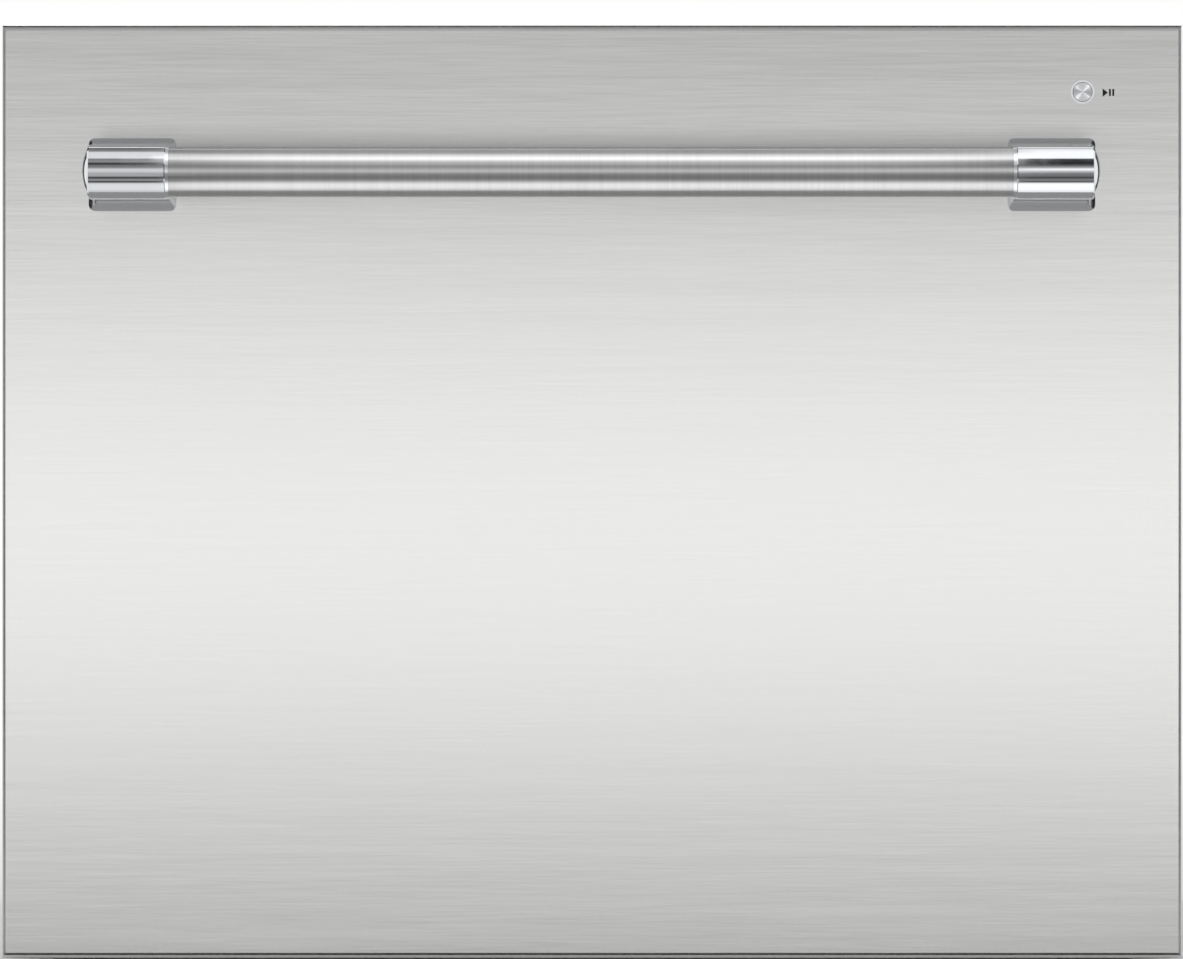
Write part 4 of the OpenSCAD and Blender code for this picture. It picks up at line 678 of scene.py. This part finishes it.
def wires(name, runs, finish_of, sides=10):
    """One mesh of round wires. Each run is (points, radius, bend, closed) in millimetres."""
    points, faces = [], []
    for run, radius, bend, closed in runs:
        rings = ring_sizes(bends(run, bend, closed), radius, closed)
        place, base = [p for p, r in rings], len(points)
        count = len(rings)
        normal = None
        for i, (p, r) in enumerate(rings):
            ahead = place[(i + 1) % count] if closed or i < count - 1 else p
            behind = place[i - 1] if closed or i else p
            along = (ahead - behind).normalized()
            if normal is None:
                normal = along.orthogonal().normalized()
            normal = (normal - along * normal.dot(along)).normalized()
            other = along.cross(normal)
            for k in range(sides):
                a = 2 * math.pi * k / sides
                q = p + (normal * math.cos(a) + other * math.sin(a)) * r
                points.append((q.x * MM, back(q.y), q.z * MM))
        for i in range(count if closed else count - 1):
            here, there = base + i * sides, base + (i + 1) % count * sides
            for k in range(sides):
                m = (k + 1) % sides
                faces.append((here + k, here + m, there + m, there + k))
        if not closed:
            faces.append(tuple(base + k for k in reversed(range(sides))))
            faces.append(tuple(base + (count - 1) * sides + k for k in range(sides)))
    obj = mesh_object(name, points, faces, smooth=True)
    obj.data.materials.append(finish_of)
    return obj


print("wire helper is ready")

# %% [markdown]
# ## The dish rack
#
# Each floor wire is one piece with the two uprights at its ends, bent up like a U, so the rack has no
# sharp corners to catch a hand. Two rings close the sides. The nylon runs together where wires cross
# and leaves a small bead, and the beads are what make a dipped rack look dipped. Tines are single
# wires with a domed tip. The rack stands on four thicker legs.

# %% Rack: floor, sides and rings
RACK_HALF, RACK_FRONT, RACK_REAR, RACK_TOP, SHELF = 235, 85, 475, 294, 237
CROSS_Z, LONG_Z, TINE_Z, LEG_LOW, LEG_TOP = 136, 139.5, 143, 88.3, 141   # heights in mm
WIRE_R, TINE_R, LEG_R, BEAD_R = 2, 1.7, 4, 2.5
SIDE_BEND, RING_BEND, BEAD_BEND, NO_BEND = 9, 14, 0.5, 1
cross_f = [100 + 45 * i for i in range(9)]
long_x = [-217 + 54.25 * i for i in range(9)]
runs = []
for f in cross_f:
    runs.append(([(-RACK_HALF, f, RACK_TOP), (-RACK_HALF, f, CROSS_Z), (RACK_HALF, f, CROSS_Z),
                  (RACK_HALF, f, RACK_TOP)], WIRE_R, SIDE_BEND, False))
for x in long_x:
    runs.append(([(x, RACK_FRONT, RACK_TOP), (x, RACK_FRONT, LONG_Z), (x, RACK_REAR, LONG_Z),
                  (x, RACK_REAR, RACK_TOP)], WIRE_R, SIDE_BEND, False))
for z in (RACK_TOP, SHELF):
    runs.append(([(-RACK_HALF, RACK_FRONT, z), (RACK_HALF, RACK_FRONT, z), (RACK_HALF, RACK_REAR, z),
                  (-RACK_HALF, RACK_REAR, z)], WIRE_R, RING_BEND, True))
print("floor, sides and rings:", len(runs), "wires")

# %% Rack: tines, legs and the beads where the coating pools
TINE_TOP, TINE_STEP, BEAD_Z, BEAD_IN = 219, 30, 137.8, 0.6
for f, last in ((145, 81), (415, 225)):
    runs.append(([(-225, f, TINE_Z), (last, f, TINE_Z)], WIRE_R, NO_BEND, False))
    runs += [([(x, f, TINE_Z), (x, f, TINE_TOP)], TINE_R, NO_BEND, False)
             for x in range(-205, last - 4, TINE_STEP)]
runs += [([(x, f, LEG_LOW), (x, f, LEG_TOP)], LEG_R, NO_BEND, False)
         for x in (-217, 217) for f in (100, 460)]
beads = [([(x, f - 2.6, BEAD_Z), (x, f + 2.6, BEAD_Z)], BEAD_R, BEAD_BEND, False)
         for x in long_x for f in cross_f]
beads += [([(x, f, SHELF - BEAD_R), (x, f, SHELF + BEAD_R)], BEAD_R, BEAD_BEND, False)
          for x in (BEAD_IN - RACK_HALF, RACK_HALF - BEAD_IN) for f in cross_f]
beads += [([(x, f, SHELF - BEAD_R), (x, f, SHELF + BEAD_R)], BEAD_R, BEAD_BEND, False)
          for x in long_x for f in (RACK_FRONT + BEAD_IN, RACK_REAR - BEAD_IN)]
rack_wires = wires("rack_wires", runs + beads, wire_pa)
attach(rack_wires, "drawer")
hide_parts("rack")
print("rack:", len(runs), "wires and", len(beads), "beads")

# %% [markdown]
# ## Clips that let parts of the rack fold
#
# The middle tines and the two cup racks are hinged: their rods snap into small polyamide clips on the
# rack. A clip's section is an open ring on a foot, so each one is drawn as that outline and pulled
# along the rod, and a bevel takes off the moulded edges.

# %% Snap clips
def pulled(name, outline, axis, spans, finish_of, bevel_mm=0.4):
    """Prisms of one outline in millimetres. axis is the index that each (low, high) span runs along."""
    points, faces = [], []
    for shift, (low, high) in spans:
        base, count = len(points), len(outline)
        for level in (low, high):
            for u, v in outline:
                p = [u, v]
                p.insert(axis, level)
                points.append(((p[0] + shift[0]) * MM, back(p[1] + shift[1]), (p[2] + shift[2]) * MM))
        for i in range(count):
            j = (i + 1) % count
            faces.append((base + i, base + j, base + count + j, base + count + i))
        faces.append(tuple(base + i for i in reversed(range(count))))
        faces.append(tuple(base + count + i for i in range(count)))
    obj = mesh_object(name, points, faces)
    mesh = bmesh.new()
    mesh.from_mesh(obj.data)
    bmesh.ops.recalc_face_normals(mesh, faces=mesh.faces)
    mesh.to_mesh(obj.data)
    mesh.free()
    edge = obj.modifiers.new("moulded_edge", "BEVEL")
    edge.width, edge.segments, edge.limit_method = bevel_mm * MM, 2, "ANGLE"
    edge.harden_normals = True
    obj.data.polygons.foreach_set("use_smooth", [True] * len(obj.data.polygons))
    obj.data.materials.append(finish_of)
    return obj


def clip_outline(opening, foot, hole=2.2, outer=4.4):
    """An open ring with its gap at an angle, and a foot that is (half width, reach) away from the gap."""
    ring = [opening + math.radians(a) for a in range(40, 321, 20)]
    outside = [(outer * math.cos(a), outer * math.sin(a)) for a in ring]
    inside = [(hole * math.cos(a), hole * math.sin(a)) for a in reversed(ring)]
    middle = len(ring) // 2
    away = Vector((-math.cos(opening), -math.sin(opening)))
    side = Vector((-away.y, away.x))
    root = [away * foot[1] + side * foot[0] * s for s in (1, -1)]
    return outside[:middle - 2] + [tuple(p) for p in root][::-1] + outside[middle + 3:] + inside


FOLD_F, FOLD_Z = 235, 143.8   # the axis of the folding tines
CUP_X = 226                   # the axis of each cup rack, which lies at the shelf ring's height
CLIP_HALF, UPWARD = 4, math.radians(90)
fold_clips = pulled("fold_clips", clip_outline(UPWARD, (4.6, 7.0)), 0,
                    [((0, FOLD_F, FOLD_Z), (x - CLIP_HALF, x + CLIP_HALF)) for x in (-120, 0, 120)], grey_pp)
right_clips = pulled("shelf_clips_right", clip_outline(UPWARD, (4.2, 4.4)), 1,
                     [((CUP_X, 0, SHELF), (f - CLIP_HALF, f + CLIP_HALF)) for f in (246, 414)], grey_pp)
left_clips = pulled("shelf_clips_left", clip_outline(UPWARD, (4.2, 4.4)), 1,
                    [((-CUP_X, 0, SHELF), (f - CLIP_HALF, f + CLIP_HALF)) for f in (246, 414)], grey_pp)
for clip in (fold_clips, right_clips, left_clips):
    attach(clip, "drawer")
print("clips: 7")

# %% [markdown]
# ## Folding tines and cup racks
#
# These three parts turn on the clips, so each is its own mesh on its own body. A cup rack's ribs are
# wires across its two long rods, and the outer corners are bent round.

# %% Folding parts
FOLD_HALF, FOLD_TOP, FOLD_BEAD_R = 221, 228.8, 2.6
fold_x = [s * (15 + TINE_STEP * i) for s in (-1, 1) for i in range(6)]
fold_runs = [([(-FOLD_HALF, FOLD_F, FOLD_Z), (FOLD_HALF, FOLD_F, FOLD_Z)], WIRE_R, NO_BEND, False)]
fold_runs += [([(x, FOLD_F, FOLD_Z), (x, FOLD_F, FOLD_TOP)], TINE_R, NO_BEND, False) for x in fold_x]
fold_runs += [([(x - 2.4, FOLD_F, FOLD_Z), (x + 2.4, FOLD_F, FOLD_Z)], FOLD_BEAD_R, BEAD_BEND, False)
              for x in fold_x]
middle_tines = wires("middle_tines", fold_runs, wire_pa)
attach(middle_tines, "folding_tines")
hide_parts("folding_tines")


CUP_EDGE, CUP_MIDDLE, CUP_BEND = 148, 187, 8
rib_f = [204 + 28 * i for i in range(10)]


def cup_rack(side, body):
    """One cup rack: a frame bent round at its outer corners, a middle rod, and ribs between its ends."""
    hinge, middle, edge = side * CUP_X, side * CUP_MIDDLE, side * CUP_EDGE
    first, last = rib_f[0], rib_f[-1]
    runs = [([(hinge, first - 4, SHELF), (hinge, last + 4, SHELF)], WIRE_R, NO_BEND, False),
            ([(hinge, first, SHELF), (edge, first, SHELF), (edge, last, SHELF), (hinge, last, SHELF)],
             WIRE_R, CUP_BEND, False),
            ([(middle, first - 2, SHELF), (middle, last + 2, SHELF)], WIRE_R, NO_BEND, False)]
    runs += [([(edge, f, SHELF), (hinge, f, SHELF)], TINE_R, NO_BEND, False) for f in rib_f[1:-1]]
    runs += [([(x, f - 2.4, SHELF), (x, f + 2.4, SHELF)], BEAD_R, BEAD_BEND, False)
             for f in rib_f for x in (middle, hinge - side * 0.4)]
    obj = wires(body + "_wires", runs, wire_pa)
    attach(obj, body)
    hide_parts(body)


cup_rack(1, "cup_rack_right")
cup_rack(-1, "cup_rack_left")
print("folding parts: 3")

# %% [markdown]
# ## The cutlery basket
#
# The basket is moulded in polypropylene as a lattice, so water reaches the cutlery. A moulded lattice
# has drafted bars with rounded edges. It is built as a grid of wall panels with a window in each,
# thickened to nearly 2 mm and bevelled: cutting windows with booleans gives the same shape, but slower
# and with ragged edges.

# %% Lattice basket
def lattice(points, faces, corner, along, up, columns, rows, bar=0.17, solid_rows=()):
    """Adds a wall of frames to the lists: each cell of the grid is a frame round a window."""
    def at(u, v):
        points.append(corner + along * u + up * v)
        return len(points) - 1
    for c in range(columns):
        for r in range(rows):
            u0, u1, v0, v1 = c / columns, (c + 1) / columns, r / rows, (r + 1) / rows
            outside = [at(u0, v0), at(u1, v0), at(u1, v1), at(u0, v1)]
            if r in solid_rows:
                faces.append(tuple(outside))
                continue
            du, dv = (u1 - u0) * bar, (v1 - v0) * bar
            inside = [at(u0 + du, v0 + dv), at(u1 - du, v0 + dv), at(u1 - du, v1 - dv), at(u0 + du, v1 - dv)]
            faces += [(outside[k], outside[(k + 1) % 4], inside[(k + 1) % 4], inside[k]) for k in range(4)]


X0, X1, F0, F1, Z0, Z1 = 96.0, 224.0, 96.0, 160.0, 142.5, 252.5
points, faces = [], []
wide, deep, tall = Vector((X1 - X0, 0, 0)), Vector((0, F1 - F0, 0)), Vector((0, 0, Z1 - Z0))
for f in (F0, F1):
    lattice(points, faces, Vector((X0, f, Z0)), wide, tall, 16, 14, solid_rows=(0, 13))
for x in (X0, X1):
    lattice(points, faces, Vector((x, F0, Z0)), deep, tall, 8, 14, solid_rows=(0, 13))
for i in (1, 2, 3):
    lattice(points, faces, Vector((X0 + i * 32, F0, Z0)), deep, tall * 0.86, 8, 12, solid_rows=(0, 11))
lattice(points, faces, Vector((X0, F0, Z0)), wide, deep, 16, 8, bar=0.26)
basket = mesh_object("cutlery_basket_lattice", [(p.x * MM, back(p.y), p.z * MM) for p in points], faces)
mesh = bmesh.new()
mesh.from_mesh(basket.data)
bmesh.ops.remove_doubles(mesh, verts=mesh.verts, dist=0.05 * MM)
bmesh.ops.recalc_face_normals(mesh, faces=mesh.faces)
mesh.to_mesh(basket.data)
mesh.free()
thick = basket.modifiers.new("wall", "SOLIDIFY")
thick.thickness, thick.offset = 1.8 * MM, 0.0
thick.use_even_offset = False
edge = basket.modifiers.new("moulded_edge", "BEVEL")
edge.width, edge.segments, edge.limit_method = 0.35 * MM, 1, "ANGLE"
basket.data.materials.append(grey_pp)
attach(basket, "drawer")
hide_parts("cutlery_basket")
print("basket:", len(basket.data.polygons), "faces before it is thickened")

# %% [markdown]
# ## The spray arm
#
# The arm is welded from two moulded halves. Its blades are flat wings with a rounded edge, thickest at
# the hub, and the water leaves through small craters in their top. CAD draws them as a plank with
# straight sides. Here one blade is lofted: sections along it are rings of points, and each ring is
# joined to the next. A loft was chosen because a bevelled plank keeps the same thickness to the tip.

# %% A helper that joins rings of points
def loft(rings, closed=False):
    """Points and faces of a skin over rings of equally many points, with both ends filled."""
    sides = len(rings[0])
    points = [p for ring in rings for p in ring]
    faces = []
    for i in range(len(rings) if closed else len(rings) - 1):
        here, there = i * sides, (i + 1) % len(rings) * sides
        for k in range(sides):
            m = (k + 1) % sides
            faces.append((here + k, here + m, there + m, there + k))
    if not closed:
        faces += [tuple(reversed(range(sides))), tuple(len(points) - sides + k for k in range(sides))]
    return points, faces


def add_skin(points, faces, more):
    """Adds one skin to growing lists of points and faces."""
    base = len(points)
    points += more[0]
    faces += [tuple(base + i for i in face) for face in more[1]]


print("loft helper is ready")

# %% Spray arm
ARM_LOW, ARM_HIGH = ends("spray_arm")
ARM_X, ARM_Y, ARM_Z = (ARM_LOW.x + ARM_HIGH.x) / 2, (ARM_LOW.y + ARM_HIGH.y) / 2, ARM_LOW.z
REACH = (ARM_HIGH.x - ARM_LOW.x) / 2 / MM
# Along the blade in mm: distance from the axis, half width, thickness and height of the middle.
BLADE = [(14, 19.0, 9.0, 10.0), (60, 18.0, 8.6, 10.0), (110, 16.4, 7.8, 9.8), (160, 14.9, 7.0, 9.5),
         (180, 14.0, 6.6, 9.4), (194, 11.5, 6.0, 9.2), (203, 8.0, 5.2, 9.1), (208, 4.2, 3.6, 9.1),
         (REACH, 0.6, 0.8, 9.1)]
points, faces = [], []
for side in (-1, 1):
    rings = []
    for out, half, thick, middle in BLADE:
        ring = []
        for k in range(20):
            a = side * 2 * math.pi * k / 20
            across = math.copysign(abs(math.cos(a)) ** 0.7, math.cos(a)) * half
            up = math.copysign(abs(math.sin(a)) ** 0.6, math.sin(a)) * thick / 2
            ring.append((ARM_X + side * out * MM, ARM_Y + across * MM, ARM_Z + (middle + up) * MM))
        rings.append(ring)
    add_skin(points, faces, loft(rings))
# The hub in mm: radius and height of each ring, from its foot to the dimple in its top.
HUB = [(20.2, 0), (21, 0.8), (21, 16.5), (20.2, 18), (17.5, 19.5), (15.5, 21.2), (14.2, 22), (9, 22),
       (8, 21), (3, 20.4)]
add_skin(points, faces, loft([[(ARM_X + r * MM * math.cos(a), ARM_Y + r * MM * math.sin(a), ARM_Z + h * MM)
                               for a in (math.pi * k / 18 for k in range(36))] for r, h in HUB]))
spray_arm = mesh_object("spray_arm_welded", points, faces, smooth=True)
spray_arm.data.materials.append(grey_pp)
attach(spray_arm, "spray_arm")
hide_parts("spray_arm")

JETS, FIRST_JET, JET_STEP, JET_ASIDE, JET_R = 5, 45, 35, 4, 2.3
jet_runs = []
for side in (-1, 1):
    for i in range(JETS):
        out, across = FIRST_JET + JET_STEP * i, side * (JET_ASIDE if i % 2 else -JET_ASIDE)
        height = ARM_Z / MM + 14.25 - 0.006 * out     # the blade's top sinks a little towards the tip
        jet_f = (ARM_Y - FACE_Y) / MM + across
        circle = [(side * out + JET_R * math.cos(a), jet_f + JET_R * math.sin(a), height)
                  for a in (math.pi * k / 8 for k in range(16))]
        jet_runs.append((circle, 0.75, 0.2, True))
jets = wires("spray_jets", jet_runs, dark_pa, sides=8)
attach(jets, "spray_arm")
print("spray arm:", len(BLADE), "sections a blade,", len(jet_runs), "jets")

# %% [markdown]
# ## The lid's seal and springs
#
# The lid closes the tub with a sponge rubber seal. A plain ring would do for CAD, but the real one has
# two soft lips, so that it seals on a rim that is never quite flat. Its profile is swept round the lid.
# Four springs lift the lid again, and shorten as it drops. Here they are true coils with closed ends,
# drawn at one length and fixed to the chassis.

# %% Lid seal
SEAL_LOW, SEAL_HIGH = ends("lid_seal")
SEAL_W, CORNER = 8.0, 40.0
profile = [(0.3, 5.0), (SEAL_W - 0.3, 5.0)] + [
    (SEAL_W * (1 - k / 16), 5 - (1.3 + 3.7 * abs(math.sin(2 * math.pi * k / 16)) ** 1.5)) for k in range(17)]
rings = []
for sx, sy, turn in ((1, 1, 0), (-1, 1, 90), (-1, -1, 180), (1, -1, 270)):
    corner_x = (SEAL_HIGH.x if sx > 0 else SEAL_LOW.x) - sx * CORNER * MM
    corner_y = (SEAL_HIGH.y if sy > 0 else SEAL_LOW.y) - sy * CORNER * MM
    for step in range(10):
        a = math.radians(turn + step * 10)
        rings.append([(corner_x + (CORNER - u) * MM * math.cos(a), corner_y + (CORNER - u) * MM * math.sin(a),
                       SEAL_LOW.z + v * MM) for u, v in profile])
seal = mesh_object("lid_seal_profile", *loft(rings, closed=True), smooth=True)
seal.data.materials.append(sponge)
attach(seal, "lid")
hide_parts("lid_seal")
print("lid seal:", len(rings), "sections of", len(profile), "points")

# %% Lid springs
SPRING_LOW, SPRING_HIGH = ends("lid_springs")
TURNS, WIRE, RADIUS, SPRING_IN, TURN_STEPS, END_RISE = 6.0, 0.7, 5.8, 6.6, 18, 0.11
height = (SPRING_HIGH.z - SPRING_LOW.z) / MM
spring_runs = []
for x in (SPRING_LOW.x / MM + SPRING_IN, SPRING_HIGH.x / MM - SPRING_IN):
    for y in (SPRING_LOW.y + SPRING_IN * MM, SPRING_HIGH.y - SPRING_IN * MM):
        coil = []
        for k in range(int(TURNS * TURN_STEPS) + 1):
            share = k / (TURNS * TURN_STEPS)
            rise = min(max((share * TURNS - 1) / (TURNS - 2), 0), 1) * (1 - 2 * END_RISE) \
                + END_RISE * min(share * TURNS, 1) + END_RISE * max(share * TURNS - TURNS + 1, 0)
            a = 2 * math.pi * share * TURNS
            coil.append((x + RADIUS * math.cos(a), (y - FACE_Y) / MM + RADIUS * math.sin(a),
                         SPRING_LOW.z / MM + WIRE + rise * (height - 2 * WIRE)))
        spring_runs.append((coil, WIRE, 0.01, False))
springs = wires("lid_spring_coils", spring_runs, plated_screw, sides=8)
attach(springs, "chassis")
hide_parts("lid_springs")
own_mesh(springs)
print("springs:", len(spring_runs), "of", TURNS, "turns and", round(height, 1), "mm")

# %% [markdown]
# ## The link hoses
#
# Two hoses cross from the standing chassis to the moving drawer: a smooth one brings water and a ribbed
# one takes it away. They are formed hoses, held at both ends, so they aren't loose cords. Each end moves
# with what it is fixed to, and the loop between them follows; here both are drawn in one pose and fixed
# in place. The ribs are real rings in the mesh, because the eye counts them on the outline.

# %% Link hoses
CUFF_MM, RIB_FORM = 14, (0, 0.5, 1, 0.5)      # the plain stretch at each end, and a rib in four steps


def hose_piece(name, x_a, x_b, f, z_a, z_b, top, bend_mm, radius, rib):
    """One hose: up from the chassis at x_a, over, and down to the drawer at x_b. rib is its depth."""
    corners = [(x_a, f, z_a), (x_a, f, top), (x_b, f, top), (x_b, f, z_b)]
    path = bends(corners, bend_mm, steps=10)
    lengths = [(b - a).length for a, b in zip(path, path[1:])]
    total, step = sum(lengths), 1.25 if rib else 6.0
    rings, run, at = [], 0.0, 0
    count = int(total / step)
    for i in range(count + 1):
        want = total * i / count
        while at < len(lengths) - 1 and run + lengths[at] < want:
            run += lengths[at]
            at += 1
        p = path[at].lerp(path[at + 1], min((want - run) / lengths[at], 1))
        ahead = (path[at + 1] - path[at]).normalized()
        if rings:
            ahead = (ahead + before).normalized()
        before = ahead
        across = ahead.cross(Vector((0, 1, 0))).normalized()
        plain = want < CUFF_MM or want > total - CUFF_MM
        r = radius - (0 if plain else rib * RIB_FORM[i % 4])
        rings.append([((p.x + across.x * math.sin(a) * r) * MM, back(p.y + math.cos(a) * r),
                       (p.z + across.z * math.sin(a) * r) * MM)
                      for a in (math.pi * k / 10 for k in range(20))])
    piece = mesh_object(name, *loft(rings), smooth=True)
    piece.data.materials.append(hose)
    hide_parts("link_hoses")
    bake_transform(piece)
    return round(total)


HOSE_LOW, HOSE_HIGH = ends("link_hoses")
inlet_mm = hose_piece("inlet_link_hose", -190, -60, 534, 114, 110, HOSE_HIGH.z / MM - 35, 30, 6, 0)
drain_mm = hose_piece("drain_link_hose", 190, 105, 537, HOSE_LOW.z / MM, 110, HOSE_HIGH.z / MM - 9,
                      36, 9, 1.6)
print("hoses:", inlet_mm, "mm smooth and", drain_mm, "mm ribbed")

# %% [markdown]
# ## The felt in the door
#
# The pan behind the steel face is filled with a mat of pressed fibre, which stops the sheet from
# drumming. It isn't a hard slab: it bulges a little between the spots where it is glued, and its edges
# are soft. A grid of points, raised by a slow wave and drawn in round the rim, gives that.

# %% Felt mat
MAT_LOW, MAT_HIGH = ends("door_insulation")
COLUMNS, ROWS = 72, 56
SCREW_HEAD_R = 4.5 * MM
POST_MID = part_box("handle_screws")[0][0] + SCREW_HEAD_R
SCREW_WIDE, SCREW_HIGH, BUTTON_CLEAR = 8 * MM, 20 * MM, 20 * MM     # where the felt is cut out
points, faces = [], []
for layer in (0, 1):
    for j in range(ROWS + 1):
        for i in range(COLUMNS + 1):
            x = MAT_LOW.x + (MAT_HIGH.x - MAT_LOW.x) * i / COLUMNS
            z = MAT_LOW.z + (MAT_HIGH.z - MAT_LOW.z) * j / ROWS
            rim = min(i, j, COLUMNS - i, ROWS - j)
            wave = 0.5 - 0.5 * math.cos(2 * math.pi * i / 12) * math.cos(2 * math.pi * j / 11.2)
            dip = wave * 0.9 + {0: 3.0, 1: 0.6}.get(rim, 0)
            y = MAT_LOW.y + dip * MM if layer == 0 else MAT_HIGH.y - dip * MM
            points.append((x, y, z))
    base = layer * (COLUMNS + 1) * (ROWS + 1)
    for j in range(ROWS):
        for i in range(COLUMNS):
            a = base + j * (COLUMNS + 1) + i
            quad = (a, a + 1, a + COLUMNS + 2, a + COLUMNS + 1)
            x_mid = MAT_LOW.x + (MAT_HIGH.x - MAT_LOW.x) * (i + 0.5) / COLUMNS
            z_mid = MAT_LOW.z + (MAT_HIGH.z - MAT_LOW.z) * (j + 0.5) / ROWS
            on_screw = abs(abs(x_mid) - abs(POST_MID)) < SCREW_WIDE and abs(z_mid - BAR.z) < SCREW_HIGH
            on_button = (Vector((x_mid, z_mid)) - Vector((BUTTON.x, BUTTON.z))).length < BUTTON_CLEAR
            if not on_screw and not on_button:
                faces.append(quad if layer == 0 else tuple(reversed(quad)))
edges = {}
for face in faces:
    for a, b in zip(face, face[1:] + face[:1]):
        edges[(a, b)] = edges.get((a, b), 0) + 1
half = (COLUMNS + 1) * (ROWS + 1)
faces += [(b, a, a + half, b + half) for a, b in list(edges) if a < half and (b, a) not in edges]
mat = mesh_object("felt_mat", points, faces, smooth=True)
mat.data.materials.append(felt)
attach(mat, "drawer")
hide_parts("door_insulation")
print("felt mat:", len(faces), "faces")

# %% [markdown]
# ## Threads
#
# The inlet takes a 3/4 inch hose nut, and the feet are wound up and down on 10 mm studs. A thread is one
# ridge on a helix. CAD leaves it off, because it would cost thousands of facets, so a ridge with a
# rounded crest is laid on each plain rod here. It is bedded in the rod and stands 0.2 mm proud.

# %% Threads
def helix(centre, axis, radius, pitch, start, length):
    """A path in millimetres (X, depth behind the face, Z) that winds along axis 1 (depth) or 2 (up)."""
    path = []
    for k in range(int(length / pitch * 24) + 1):
        a, along = 2 * math.pi * k / 24, start + pitch * k / 24
        u, v = radius * math.cos(a), radius * math.sin(a)
        if axis == 1:
            path.append((centre[0] + u, along, centre[1] + v))
        else:
            path.append((centre[0] + u, centre[1] + v, along))
    return path


INLET_X, INLET_Z, INLET_R, INLET_PITCH = -190, 72, 12.75, 1.81      # 14 threads to the inch
STUD_R, STUD_PITCH = 4.72, 1.5
inlet_path = helix((INLET_X, INLET_Z), 1, INLET_R, INLET_PITCH, 554.8, 17)
inlet_ridge = wires("inlet_thread_ridge", [(inlet_path, 0.62, 0.01, False)], white_pp, sides=8)
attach(inlet_ridge, "chassis")
for name in ("foot_front_left", "foot_front_right", "foot_rear_left", "foot_rear_right"):
    low, high = ends(name)
    middle = ((low.x + high.x) / 2 / MM, ((low.y + high.y) / 2 - FACE_Y) / MM)
    stud_path = helix(middle, 2, STUD_R, STUD_PITCH, 15.5, high.z / MM - 17.5)
    ridge = wires(name + "_thread", [(stud_path, 0.5, 0.01, False)], plated_screw, sides=6)
    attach(ridge, name)
print("threads: 1 on the inlet, 4 on the feet")
